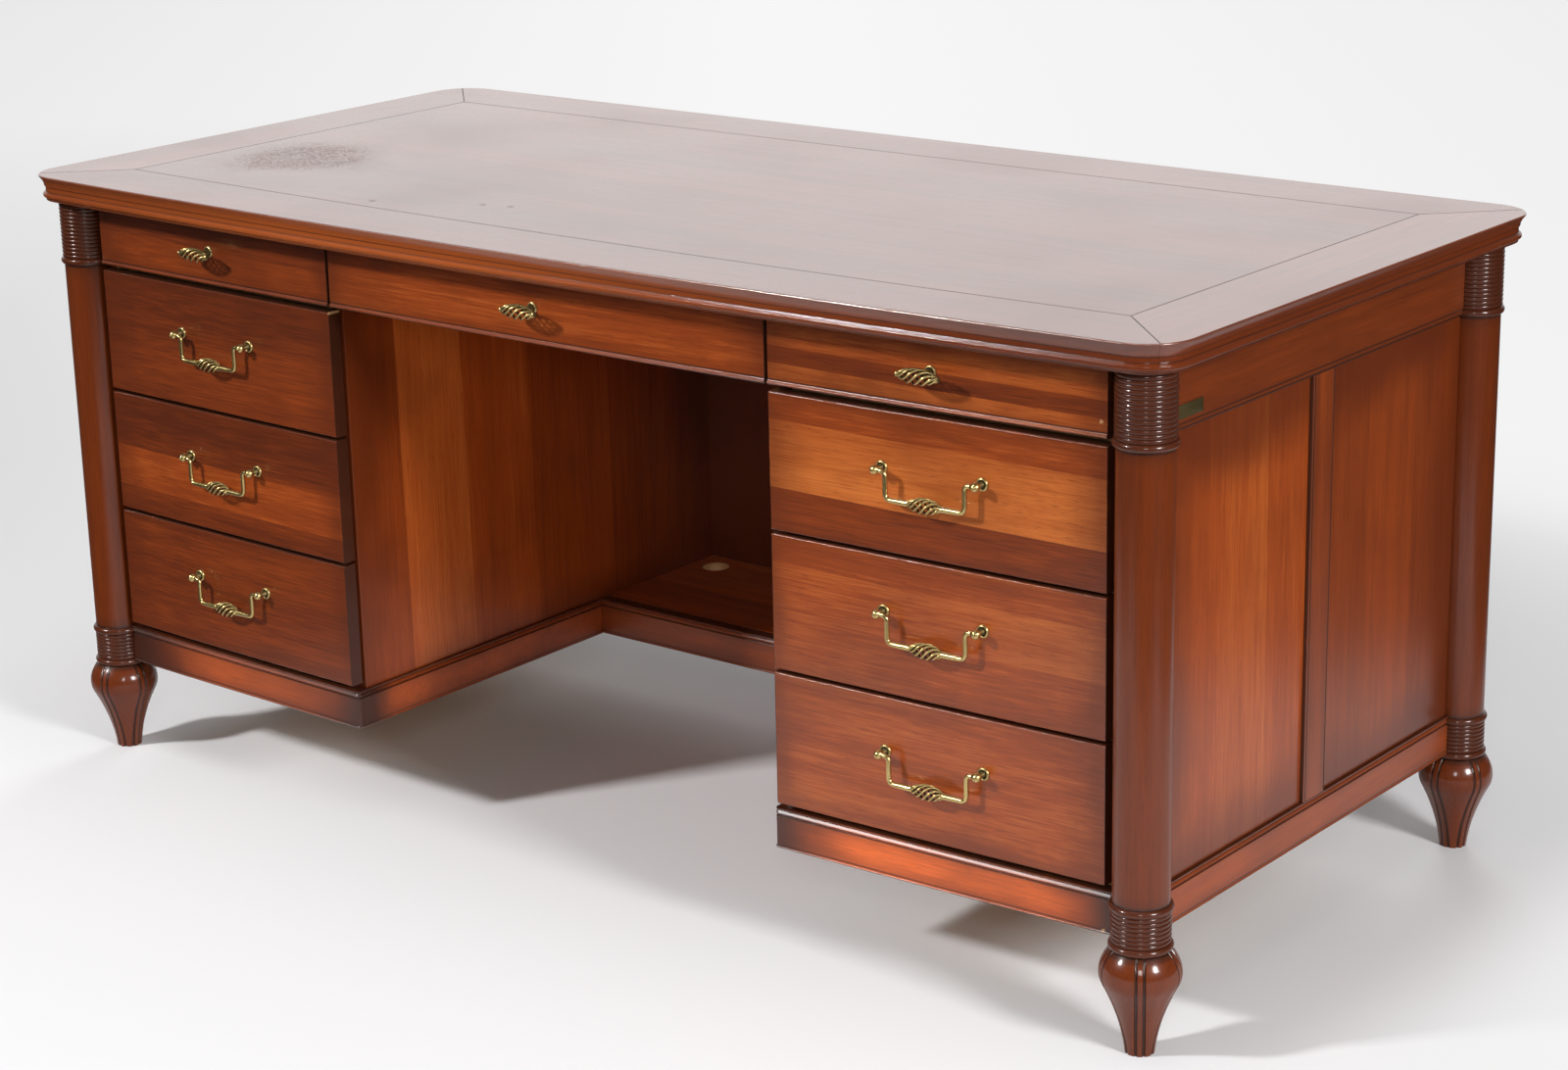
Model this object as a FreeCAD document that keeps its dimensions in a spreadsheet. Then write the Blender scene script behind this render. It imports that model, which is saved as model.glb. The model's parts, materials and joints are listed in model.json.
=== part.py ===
import FreeCAD, Part
import Sketcher

import math
import os
import re

# A partners desk with a gently bowed front: a mitred top on four turned posts, two pedestals of
# three drawers, three frieze drawers over the kneehole and pedestals, and twisted cage pulls.
# Millimetres. X runs to the right, -Y is the drawer side, Z is up from the floor.
# The origin is on the floor under the middle of the top.

SIZES = {
    # name: (size, what it is)
    "height": (762, "floor to writing surface"),
    "top_thick": (32, "thickness of the mitred border"),
    "edge_bevel": (1, "bevel of the top's upper arris"),
    "edge_flat": (1, "flat of the top's edge under this arris"),
    "hollow_in": (6, "depth of the hollow moulding of the top's edge"),
    "hollow_tall": (12, "height of this hollow"),
    "hollow_deep": (1.5, "depth of this hollow behind a straight line"),
    "edge_step": (0.7, "slope from the hollow to the bead's root"),
    "edge_bead_in": (7.5, "root of the bead under the hollow, inside the edge"),
    "edge_bead_low": (2, "underside of the top to this bead"),
    "edge_bead_tall": (9, "height of this bead"),
    "edge_bead_out": (3.9, "how far this bead stands out"),
    "field_thick": (20, "thickness of the panel inside the border"),
    "field_lip": (15, "width of the rebate that carries the panel"),
    "field_gap": (0.3, "joint between panel and border"),
    "overhang": (53, "top edge beyond the post axes"),
    "border": (48, "joint line of the panel inside the post axes"),
    "mitre_in": (1.6, "how far a mitre's cut reaches in, in widths of the border from the post axis"),
    "mitre_out": (1.8, "how far it reaches out"),
    "post_x": (785, "post axis from the middle, sideways"),
    "post_y": (344, "post axis from the middle, front to back"),
    "bow": (18, "rise of the bowed front between the front posts"),
    "post_gap": (0.3, "space between a post and what is scribed to it"),
    "shaft_r": (30, "plain shaft of the post"),
    "bead_bulge": (3.8, "how far a bead stands out of the shaft"),
    "bead_tall": (8.5, "height of a bead on the post"),
    "ring_out": (1.6, "ringed stretches of the post beyond the shaft"),
    "foot_rings_low": (125, "start of the foot's rings"),
    "foot_rings_high": (159.5, "end of the foot's rings"),
    "capital_tall": (74, "the capital's rings under the top"),
    "foot_r": (15.7, "radius of the foot on the floor"),
    "foot_hollow": (3.9, "depth of the foot's hollow curve under a straight line"),
    "bulb_join": (76.2, "height where the hollow curve meets the bulb"),
    "bulb_join_r": (39.5, "radius of the post there"),
    "bulb_mid": (90, "height of the widest place of the bulb"),
    "bulb_r": (43.2, "widest radius of the bulb"),
    "bulb_top_bulge": (2.9, "bulge of its side above its widest place"),
    "bulb_top_r": (32.1, "radius of the bulb under its bead"),
    "rail_thick": (22, "thickness of the frieze, base and muntin rails"),
    "rail_out": (3, "outer face of the frame outside the post axes"),
    "panel_thick": (10, "thickness of the side panels"),
    "panel_sunk": (4, "side panels behind the face of their frame"),
    "muntin_wide": (46, "width of the upright between the side panels"),
    "frieze_tall": (80, "frieze and frieze drawers under the top"),
    "base_low": (123, "lower edge of plinth and base rails"),
    "base_high": (170, "upper edge of plinth and base rails"),
    "joint": (0.3, "clearance between fixed boards"),
    "knee_half": (328, "half width of the kneehole"),
    "knee_board": (18, "thickness of the kneehole's side panels"),
    "back_board": (16, "thickness of the back panel"),
    "back_inset": (12, "back panel inside the back post axes"),
    "carcass_in": (13, "front edges of the carcass behind the post line"),
    "face_out": (8, "drawer faces in front of the post line"),
    "front_thick": (18, "thickness of a drawer front"),
    "front_bevel": (1.5, "bevelled long edges of a drawer front"),
    "bead_high": (5, "bead along the foot of a frieze drawer"),
    "bead_out": (2.2, "how far this bead stands out"),
    "front_side": (2.5, "drawer front beyond the kneehole's side"),
    "front_end": (38, "drawer front's outer end from the post axis"),
    "drawer_gap": (3.5, "gap between the drawers of a pedestal"),
    "row_gap": (7, "gap above and below the pedestal drawers"),
    "top_gap": (1, "gap over the frieze drawers"),
    "box_play": (1, "play beside a drawer box"),
    "box_rise": (4, "drawer box above its front's lower edge"),
    "box_short": (19, "pedestal drawer box below its front's upper edge"),
    "box_under_top": (5, "space over a frieze drawer box"),
    "box_wall": (10, "walls of a drawer box"),
    "box_floor": (6, "bottom of a drawer box"),
    "box_back": (20, "space behind a drawer box"),
    "glide": (0.3, "running clearance under a drawer box"),
    "shelf_board": (12, "boards that the drawers run on"),
    "stile_deep": (40, "depth of the upright beside the drawers"),
    "runner_wide": (15, "runners of the middle drawer"),
    "runner_thick": (12, "thickness of these runners"),
    "plinth_out": (4.5, "plinth face outside its line"),
    "toe_bead_tall": (3.6, "bead along the foot of plinth and base rails"),
    "toe_bead_out": (1.3, "how far this bead stands out"),
    "quirk": (1.9, "width of the grooves beside the plinth's upper bead"),
    "quirk_deep": (1.6, "depth of these grooves"),
    "line_bead_down": (3.6, "upper bead below the plinth's upper edge"),
    "line_bead_tall": (4, "height of the plinth's upper bead"),
    "line_bead_out": (1.2, "how far this bead stands out of its root"),
    "knee_shelf_y": (92, "front of the rail under the kneehole's shelf"),
    "knee_shelf_thick": (18, "thickness of the kneehole's shelf and its rail"),
    "cable_r": (17.5, "radius of the cable hole"),
    "cable_in": (38, "cable hole from the kneehole's side and back"),
    "pull_drop": (61, "pull's pivot below the drawer front's upper edge"),
    "pull_apart": (124, "between the two posts of a pull"),
    "pull_out": (13, "pivot in front of the drawer face"),
    "pull_stem_r": (2.8, "stem of a pull's post"),
    "rosette_r": (7.2, "rosette behind the stem"),
    "rosette_thick": (2.2, "thickness of the rosette"),
    "ball_r": (5.2, "ball that holds the bail"),
    "wire_r": (2.3, "half thickness of the bail"),
    "pin_r": (1.4, "pin of the bail inside the ball, to its corners"),
    "pin_play": (0.5, "bore beyond the pin's corners, to its own corners"),
    "pin_in": (3.6, "depth of the pin in the ball"),
    "ball_gap": (0.4, "between the ball and the bail's shoulder"),
    "arm_in": (13, "arm of the bail inside its post"),
    "bail_drop": (30, "bar of the bail below its pivot"),
    "bail_bend": (5, "radius of the bail's corners"),
    "cage_long": (40, "length of a bail's cage"),
    "knob_long": (48, "length of a knob's cage"),
    "cage_r": (7.8, "widest radius of a cage, to its wires"),
    "cage_end_r": (1.9, "radius of a cage at its ends, to its wires"),
    "cage_wires": (6, "wires of a cage"),
    "cage_turn": (300, "degrees that each wire goes round"),
    "cage_wire_r": (1.0, "half thickness of a cage's wire"),
    "collar_r": (3.4, "collar at each end of a cage"),
    "collar_long": (3, "length of a collar"),
    "knob_low": (41, "knob's axis above the frieze drawer's lower edge"),
    "knob_out": (24, "knob's axis in front of the drawer face"),
}

MOULDING_STEPS = 3  # straight steps that make a curve of the top's edge
TURNING_STEPS = 2  # straight steps that make a turned curve or a small bead
CAGE_FULLNESS = 0.8  # under 1 a cage keeps its width nearer to its ends
CAGE_STEP = 43  # degrees that a wire goes round between its sections
NEARBY = 0.01  # share of a cage's length either way, over which a wire's direction is taken
SMALL_SIDES = 8  # sides of the small turned fittings

V = FreeCAD.Vector

doc = FreeCAD.newDocument("partners_desk")
sheet = doc.addObject("Spreadsheet::Sheet", "Sizes")
for row, (alias, (amount, meaning)) in enumerate(SIZES.items(), start=1):
    sheet.set(f"A{row}", meaning)
    sheet.set(f"B{row}", str(amount))
    sheet.setAlias(f"B{row}", alias)
doc.recompute()

ruler = doc.addObject("App::VarSet", "Ruler")
ruler.addProperty("App::PropertyFloat", "Reading")

pieces = []

# ---------------------------------------------------------------- derived lines, as expressions

BOW_R = "((post_x ^ 2 + bow ^ 2) / (2 * bow))"
FRONT = "(bow / 2 - post_y)"
BACK = "(bow / 2 + post_y)"
MIDDLE = "(bow / 2)"
BOW_Y = f"({FRONT} - bow + {BOW_R})"
TOP_LOW = "(height - top_thick)"
BACK_FACE = f"({BACK} - back_inset - back_board)"
FRAME_X = "(post_x + rail_out)"
STILE_X = "(post_x - front_end - front_side)"
POST_TURN = f"asin(post_x / {BOW_R})"
FRIEZE_LOW = f"({TOP_LOW} - frieze_tall)"
CAPITAL_LOW = f"({TOP_LOW} - capital_tall)"
DRAWER_TALL = f"(({FRIEZE_LOW} - base_high - 2 * row_gap - 2 * drawer_gap) / 3)"
FRONT_WEST = "(knee_half + front_side)"
FRONT_EAST = "(post_x - front_end)"
DRAWER_X = f"(({FRONT_WEST} + {FRONT_EAST}) / 2)"
FACE_R = f"({BOW_R} + face_out)"
DRAWER_TURN = f"asin({DRAWER_X} / {FACE_R})"


def bowed_y(offset, x):
    """Where a line parallel to the bowed front, offset outward, lies at a distance x."""
    return f"({BOW_Y} - sqrt(({BOW_R} + {offset}) ^ 2 - ({x}) ^ 2))"


def drawer_low(row):
    """Lower edge of a pedestal drawer's front, counted from the plinth."""
    return f"(base_high + row_gap + {row} * ({DRAWER_TALL} + drawer_gap))"


# ---------------------------------------------------------------- helpers

def in_sheet(expression):
    """The expression with each size's name pointed at the sheet."""
    return re.sub(r"[a-z_]+", lambda word: ("Sizes." if word.group() in SIZES else "") + word.group(),
                  expression)


def bind(thing, prop, expression):
    thing.setExpression(prop, in_sheet(expression))


def reading(expression):
    """The present value of an expression, to start a sketch near its solution."""
    bind(ruler, "Reading", expression)
    ruler.recompute()
    return ruler.Reading


def place(thing, x="0", y="0", z="0"):
    for axis, expression in (("x", x), ("y", y), ("z", z)):
        if expression != "0":
            bind(thing, f"Placement.Base.{axis}", expression)
    return thing


def turn(thing, angle):
    """Turn about the upright axis through the thing's own place."""
    bind(thing, "Placement.Rotation.Angle", angle)
    return thing


def finish(name, thing):
    """Name a finished piece and put it on the list of what is written."""
    thing.Label = name
    pieces.append(thing)
    return thing


def board(name, west, east, front, back, low, high):
    box = doc.addObject("Part::Box", name)
    bind(box, "Length", f"({east}) - ({west})")
    bind(box, "Width", f"({back}) - ({front})")
    bind(box, "Height", f"({high}) - ({low})")
    return place(box, west, front, low)


def rod(name, x, y, low, high, radius):
    cylinder = doc.addObject("Part::Cylinder", name)
    bind(cylinder, "Radius", radius)
    bind(cylinder, "Height", f"({high}) - ({low})")
    return place(cylinder, x, y, low)


def cut(name, base, tool):
    feature = doc.addObject("Part::Cut", name)
    feature.Base = base
    feature.Tool = tool
    return feature


def common(name, base, tool):
    feature = doc.addObject("Part::Common", name)
    feature.Base = base
    feature.Tool = tool
    return feature


def fuse(name, parts):
    feature = doc.addObject("Part::MultiFuse", name)
    feature.Shapes = parts
    return feature


def group(name, parts):
    """Several shapes, or one shape used again, as one thing with its own placement."""
    feature = doc.addObject("Part::Compound", name)
    feature.Links = parts
    return feature


def origin_plane(body, role):
    for feature in body.Origin.OriginFeatures:
        if feature.Role == role:
            return feature
    raise ValueError(role)


def sketch_on(body, name, role, offset=None):
    sketch = body.newObject("Sketcher::SketchObject", name)
    sketch.AttachmentSupport = [(origin_plane(body, role), "")]
    sketch.MapMode = "FlatFace"
    if offset:
        bind(sketch, "AttachmentOffset.Base.z", offset)
    return sketch


def outline(sketch, corners, closed=True):
    """An outline through corners (across, up) held by expressions.

    A corner may carry the radius of the arc that leads to the next one, whose centre lies to the
    left of the way there."""
    points = [V(reading(corner[0]), reading(corner[1])) for corner in corners]
    count = len(corners) if closed else len(corners) - 1
    for index in range(count):
        start = points[index]
        end = points[(index + 1) % len(points)]
        if len(corners[index]) == 2:
            sketch.addGeometry(Part.LineSegment(start, end))
            continue
        curve = corners[index][2]
        radius = reading(curve)
        chord = end - start
        reach = math.sqrt(radius ** 2 - (chord.Length / 2) ** 2) / chord.Length
        centre = start + chord / 2 + V(-chord.y, chord.x) * reach
        angles = [math.atan2(point.y - centre.y, point.x - centre.x) for point in (start, end)]
        sketch.addGeometry(Part.ArcOfCircle(Part.Circle(centre, V(0, 0, 1), radius), *angles))
        number = sketch.addConstraint(Sketcher.Constraint("Radius", index, radius))
        bind(sketch, f"Constraints[{number}]", curve)

    for index, corner in enumerate(corners):
        before = (index - 1) % len(corners)
        edge, end = (index, 1) if index < count else (before, 2)
        if index < count and (closed or index):
            sketch.addConstraint(Sketcher.Constraint("Coincident", before, 2, edge, end))
        for kind, axis, expression, value in (("DistanceX", -2, corner[0], points[index].x),
                                              ("DistanceY", -1, corner[1], points[index].y)):
            if expression == "0":
                sketch.addConstraint(Sketcher.Constraint("PointOnObject", edge, end, axis))
                continue
            number = sketch.addConstraint(Sketcher.Constraint(kind, edge, end, value))
            bind(sketch, f"Constraints[{number}]", expression)
    return sketch


def revolve(body, sketch, name, angle=None, symmetric=False):
    """The sketch turned about its upright axis, all round or by an angle."""
    feature = body.newObject("PartDesign::Revolution", name)
    feature.Profile = sketch
    feature.ReferenceAxis = (sketch, ["V_Axis"])
    feature.Angle = 360
    if angle:
        feature.Midplane = symmetric
        bind(feature, "Angle", angle)
    body.Tip = feature
    return feature


def pad(body, sketch, name, length, symmetric=False):
    feature = body.newObject("PartDesign::Pad", name)
    feature.Profile = sketch
    bind(feature, "Length", length)
    if symmetric:
        feature.SideType = "Symmetric"
    body.Tip = feature
    return feature


def rise(outward, out):
    """A distance outward as a difference in the sketch's own direction."""
    return f"{outward(out)} - ({outward('0')})"


def curved(start, end, bulge, steps=TURNING_STEPS):
    """Corners from start to just before end, in steps along a curve that stands off to the side.

    The bulge is how far the curve's middle stands beyond the straight line, across."""
    corners = []
    for step in range(steps):
        share = step / steps
        across = f"{start[0]} + {share} * ({end[0]} - ({start[0]}))"
        up = f"{start[1]} + {share} * ({end[1]} - ({start[1]}))"
        corners.append((f"{across} + {4 * share * (1 - share)} * ({bulge})" if step else start[0],
                        up if step else start[1]))
    return corners


def facing(sign):
    """Turns a distance outward into a sketch's own direction: "" for along it, "-" for against."""
    return lambda out: "0" if out == "0" else f"{sign}({out})"


# ---------------------------------------------------------------- shared tools

def bow_disc(offset):
    """Everything behind a line parallel to the bowed front."""
    return rod("bow line", "0", BOW_Y, "0", "height", f"{BOW_R} + ({offset})")


def post_places():
    return {"front_left": ("-post_x", FRONT), "front_right": ("post_x", FRONT),
            "back_left": ("-post_x", BACK), "back_right": ("post_x", BACK)}


def post_clearance():
    """The room that a post takes, stepped round its beads and rings, at each of the four places."""
    body = doc.addObject("PartDesign::Body", "post_room")
    bead = "shaft_r + bead_bulge + post_gap"
    ring = "shaft_r + ring_out + post_gap"
    bead_top = "foot_rings_high + bead_tall + post_gap"
    capital_bead = f"{CAPITAL_LOW} - bead_tall - post_gap"
    sketch = sketch_on(body, "room_outline", "XZ_Plane")
    outline(sketch, [
        ("0", "foot_rings_low - bead_tall"), (bead, "foot_rings_low - bead_tall"),
        (bead, "foot_rings_low + post_gap"), (ring, "foot_rings_low + post_gap"),
        (ring, "foot_rings_high - post_gap"), (bead, "foot_rings_high - post_gap"),
        (bead, bead_top), ("shaft_r + post_gap", bead_top),
        ("shaft_r + post_gap", capital_bead), (bead, capital_bead),
        (bead, f"{CAPITAL_LOW} + post_gap"), (ring, f"{CAPITAL_LOW} + post_gap"),
        (ring, "height"), ("0", "height")])
    revolve(body, sketch, "room")
    rooms = []
    for where, (x, y) in post_places().items():
        rooms.append(place(group(f"post_room_{where}", [body]), x, y))
    return fuse("post_rooms", rooms)


# ---------------------------------------------------------------- turned posts

def post_body():
    """One turned post: hollow-curved foot, bulb, and beads beside two ringed stretches."""
    body = doc.addObject("PartDesign::Body", "turned_post")
    profile = sketch_on(body, "post_profile", "XZ_Plane")
    ringed = "(shaft_r + ring_out)"
    foot = ("foot_r", "0")
    bulb_low = ("bulb_join_r", "bulb_join")
    bulb_wide = ("bulb_r", "bulb_mid")
    bulb_high = ("bulb_top_r", "(foot_rings_low - bead_tall)")
    shaft_low = ("shaft_r", "(foot_rings_high + bead_tall)")
    shaft_high = ("shaft_r", f"({CAPITAL_LOW} - bead_tall)")
    beads = [(bulb_high, (ringed, "foot_rings_low"), "bead_bulge - ring_out"),
             ((ringed, "foot_rings_high"), shaft_low, "bead_bulge - ring_out / 2"),
             (shaft_high, (ringed, CAPITAL_LOW), "bead_bulge - ring_out / 2")]
    corners = [("0", "0")] + curved(foot, bulb_low, "-foot_hollow") + [bulb_low]
    corners += curved(bulb_wide, bulb_high, "bulb_top_bulge")
    for start, end, bulge in beads:
        corners += curved(start, end, bulge) + [end]
    corners += [(ringed, TOP_LOW), ("0", TOP_LOW)]
    outline(profile, corners)
    revolve(body, profile, "turning")
    return body


def posts():
    turned = post_body()
    for where, (x, y) in post_places().items():
        finish(f"post_{where}", place(group(f"post_{where}", [turned]), x, y))


# ---------------------------------------------------------------- top

def rail_outline(sketch, outward, inner=True):
    """Section of a border rail: moulded outside, from the upper arris down, and rebated inside.

    outward turns a distance beyond the post line into the sketch's own direction."""
    def corner(inset, down):
        return outward(f"(overhang - ({inset}))"), f"(height - ({down}))"

    hollow_low = "edge_bevel + edge_flat + hollow_tall"
    bead_high = corner("edge_bead_in", "top_thick - edge_bead_low - edge_bead_tall")
    bead_low = corner("edge_bead_in", "top_thick - edge_bead_low")
    corners = [corner("edge_bevel", "0"), corner("0", "edge_bevel")]
    corners += curved(corner("0", "edge_bevel + edge_flat"), corner("hollow_in", hollow_low),
                      rise(outward, "-hollow_deep"), MOULDING_STEPS)
    corners += [corner("hollow_in", hollow_low), corner("edge_bead_in", f"{hollow_low} + edge_step")]
    corners += curved(bead_high, bead_low, rise(outward, "edge_bead_out"), MOULDING_STEPS)
    corners += [bead_low, corner("edge_bead_in", "top_thick")]
    if inner:
        corners += [(outward("-border - field_lip"), TOP_LOW),
                    (outward("-border - field_lip"), "height - field_thick"),
                    (outward("-border"), "height - field_thick"), (outward("-border"), "height")]
    else:
        corners += [("0", TOP_LOW), ("0", "height")]
    return outline(sketch, corners)


def rail_runs():
    """The four border rails before mitring: one bowed, three straight, as long as the post lines."""
    front = doc.addObject("PartDesign::Body", "front_rail_run")
    place(front, "0", BOW_Y)
    section = sketch_on(front, "front_rail_section", "YZ_Plane")
    rail_outline(section, lambda out: f"-({BOW_R} + {out})")
    revolve(front, section, "front_rail_bow", f"2 * {POST_TURN}", symmetric=True)

    back = doc.addObject("PartDesign::Body", "back_rail_run")
    place(back, "0", BACK)
    section = sketch_on(back, "back_rail_section", "YZ_Plane")
    rail_outline(section, facing(""))
    pad(back, section, "back_rail_length", "2 * post_x", symmetric=True)

    runs = {"front": front, "back": back}
    for side, sign in (("left", "-"), ("right", "")):
        run = doc.addObject("PartDesign::Body", f"{side}_rail_run")
        place(run, f"{sign}post_x", MIDDLE)
        section = sketch_on(run, f"{side}_rail_section", "XZ_Plane")
        rail_outline(section, facing(sign))
        pad(run, section, f"{side}_rail_length", "2 * post_y", symmetric=True)
        runs[side] = run
    return runs


def rail_corners():
    """The moulding carried round each corner, about the post's axis, from rail to rail."""
    square = f"90 deg - {POST_TURN}"
    corners = {}
    for where, angle, start in (("back_right", "90 deg", "0 deg"), ("back_left", "90 deg", "90 deg"),
                                ("front_left", square, "180 deg"), ("front_right", square, f"-({square})")):
        turned = doc.addObject("PartDesign::Body", f"corner_{where}")
        section = sketch_on(turned, f"corner_{where}_section", "XZ_Plane")
        rail_outline(section, facing(""), inner=False)
        revolve(turned, section, f"corner_{where}_turning", angle)
        corners[where] = place(turned, *post_places()[where])
        turn(turned, start)
    return corners


def mitre_line(where, reach):
    """A point on a mitre: reach 0 is the post's axis and 1 the corner of the panel."""
    x, y = post_places()[where]
    sign = "-" if x.startswith("-") else ""
    panel_x = "post_x - border"
    if y == FRONT:
        panel_y = bowed_y("(-border)", panel_x)
    else:
        panel_y = f"({BACK} - border)"
    return (f"{sign}(post_x - {reach} * border)", f"({y} + {reach} * ({panel_y} - {y}))")


def border_rails():
    runs = rail_runs()
    corners = rail_corners()
    inward, outward = "mitre_in", "(-mitre_out)"
    for side, ends in (("front", ("front_left", "front_right")), ("right", ("front_right", "back_right")),
                       ("back", ("back_right", "back_left")), ("left", ("back_left", "front_left"))):
        wedge = doc.addObject("PartDesign::Body", f"{side}_mitre_room")
        sketch = sketch_on(wedge, f"{side}_mitre_outline", "XY_Plane")
        outline(sketch, [mitre_line(ends[0], inward), mitre_line(ends[0], outward),
                         mitre_line(ends[1], outward), mitre_line(ends[1], inward)])
        pad(wedge, sketch, f"{side}_mitre_depth", "height")
        whole = fuse(f"{side}_rail_whole", [runs[side], corners[ends[0]], corners[ends[1]]])
        finish(f"top_border_{side}", common(f"top_border_{side}", whole, wedge))


def top_panel():
    """The panel inside the border, its front edge parallel to the bow."""
    body = doc.addObject("PartDesign::Body", "top_panel")
    sketch = sketch_on(body, "panel_outline", "XY_Plane")
    edge = "(border + field_gap)"
    x = f"post_x - {edge}"
    front_y = bowed_y(f"(-{edge})", x)
    outline(sketch, [(f"-({x})", front_y, f"{BOW_R} - {edge}"), (x, front_y),
                     (x, f"{BACK} - {edge}"), (f"-({x})", f"{BACK} - {edge}")])
    place(body, "0", "0", "height - field_thick")
    pad(body, sketch, "panel_thickness", "field_thick")
    finish("top_panel", body)


# ---------------------------------------------------------------- frames of the sides and back

def base_section(sketch, outward, inner):
    """Section of a base moulding: a bead at its foot and a bead between grooves under its top.

    outward turns a distance beyond the moulding's line into the sketch's own direction."""
    face = outward("plinth_out")
    root = outward("plinth_out - quirk_deep / 2")
    deep = outward("plinth_out - quirk_deep")
    high = "(base_high - line_bead_down)"
    low = "(base_high - line_bead_down - line_bead_tall)"
    toe_high = "(base_low + toe_bead_tall)"
    corners = [(outward(inner), "base_low")]
    corners += curved((face, "base_low"), (face, toe_high), rise(outward, "toe_bead_out"))
    corners += [(face, toe_high), (face, f"{low} - quirk"), (deep, f"{low} - quirk / 2")]
    corners += curved((root, low), (root, high), rise(outward, "line_bead_out"))
    corners += [(root, high), (deep, f"{high} + quirk / 2"), (face, f"{high} + quirk"),
                (face, "base_high"), (outward(inner), "base_high")]
    return outline(sketch, corners)


def side_frames(rooms):
    """Frieze, base rail, upright and two flat panels between the posts of each side."""
    muntins = []
    panels = []
    for side, sign in (("left", -1), ("right", 1)):
        def across(name, inner, outer, *rest, sign=sign):
            west, east = (inner, outer) if sign > 0 else (f"-({outer})", f"-({inner})")
            return board(name, west, east, *rest)

        inner = f"{FRAME_X} - rail_thick"
        blank = across(f"frieze_{side}_blank", inner, FRAME_X, FRONT, BACK, FRIEZE_LOW, TOP_LOW)
        finish(f"side_frieze_{side}", cut(f"side_frieze_{side}", blank, rooms))

        rail = doc.addObject("PartDesign::Body", f"base_rail_{side}_run")
        mark = "-" if sign < 0 else ""
        place(rail, f"{mark}({FRAME_X} - plinth_out)", MIDDLE)
        section = sketch_on(rail, f"base_rail_{side}_section", "XZ_Plane")
        base_section(section, facing(mark), "plinth_out - rail_thick")
        pad(rail, section, f"base_rail_{side}_length", "2 * post_y", symmetric=True)
        finish(f"side_base_rail_{side}", cut(f"side_base_rail_{side}", rail, rooms))

        low, high = "base_high + joint", f"{FRIEZE_LOW} - joint"
        muntins.append(across(f"muntin_{side}", inner, FRAME_X, f"{MIDDLE} - muntin_wide / 2",
                              f"{MIDDLE} + muntin_wide / 2", low, high))
        face = f"{FRAME_X} - panel_sunk"
        edge = "(muntin_wide / 2 + joint)"
        for end, front, back in (("front", FRONT, f"{MIDDLE} - {edge}"),
                                 ("back", f"{MIDDLE} + {edge}", BACK)):
            blank = across(f"panel_{side}_{end}_blank", f"{face} - panel_thick", face,
                           front, back, low, high)
            panels.append(cut(f"panel_{side}_{end}", blank, rooms))
    finish("side_muntins", group("side_muntins", muntins))
    finish("side_panels", group("side_panels", panels))


def back_frame(rooms):
    """Frieze, base rail and one wide panel, which also closes the back of the kneehole."""
    face = f"({BACK} + rail_out)"
    blank = board("back_frieze_blank", "-post_x", "post_x", f"{face} - rail_thick", face,
                  FRIEZE_LOW, TOP_LOW)
    finish("back_frieze", cut("back_frieze", blank, rooms))
    rail = doc.addObject("PartDesign::Body", "back_base_rail_run")
    place(rail, "0", f"{face} - plinth_out")
    section = sketch_on(rail, "back_base_rail_section", "YZ_Plane")
    base_section(section, facing(""), "plinth_out - rail_thick")
    pad(rail, section, "back_base_rail_length", "2 * post_x", symmetric=True)
    finish("back_base_rail", cut("back_base_rail", rail, rooms))
    blank = board("back_panel_blank", "-post_x", "post_x", BACK_FACE, f"{BACK_FACE} + back_board",
                  "base_high + joint", f"{FRIEZE_LOW} - joint")
    finish("back_panel", cut("back_panel", blank, rooms))


# ---------------------------------------------------------------- pedestals and kneehole

def mirrored(side, inner, outer):
    """West and east of something that lies between two distances from the middle."""
    return (inner, outer) if side == "right" else (f"-({outer})", f"-({inner})")


def pedestals(rooms):
    carcass = bow_disc("-carcass_in")
    knee_inner = "knee_half + knee_board"
    boards = []
    stiles = []
    runners = []
    rises = [f"{drawer_low(row)} + box_rise - glide" for row in range(3)]
    rises.append(f"{FRIEZE_LOW} + box_rise - glide")
    for side in ("left", "right"):
        west, east = mirrored(side, "knee_half", knee_inner)
        blank = board(f"knee_panel_{side}_blank", west, east, f"{FRONT} - bow", f"{BACK_FACE} - joint",
                      "base_low", TOP_LOW)
        finish(f"knee_panel_{side}", common(f"knee_panel_{side}", blank, carcass))

        west, east = mirrored(side, knee_inner, STILE_X)
        for number, high in enumerate(rises):
            blank = board(f"board_{side}_{number}_blank", west, east, f"{FRONT} - bow",
                          f"{BACK_FACE} - joint", f"{high} - shelf_board", high)
            boards.append(common(f"board_{side}_{number}", blank, carcass))

        west, east = mirrored(side, STILE_X, f"{FRAME_X} - rail_thick - joint")
        blank = board(f"stile_{side}_blank", west, east, f"{FRONT} - bow", f"{FRONT} + stile_deep",
                      "base_low", TOP_LOW)
        bowed = common(f"stile_{side}_bowed", blank, carcass)
        stiles.append(cut(f"stile_{side}", bowed, rooms))

        west, east = mirrored(side, "knee_half - runner_wide", "knee_half")
        blank = board(f"runner_{side}_blank", west, east, f"{FRONT} - bow", f"{BACK_FACE} - joint",
                      FRIEZE_LOW, f"{FRIEZE_LOW} + runner_thick")
        runners.append(common(f"runner_{side}", blank, carcass))
    finish("pedestal_boards", group("pedestal_boards", boards))
    finish("pedestal_stiles", group("pedestal_stiles", stiles))
    finish("middle_drawer_runners", group("middle_drawer_runners", runners))


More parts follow.
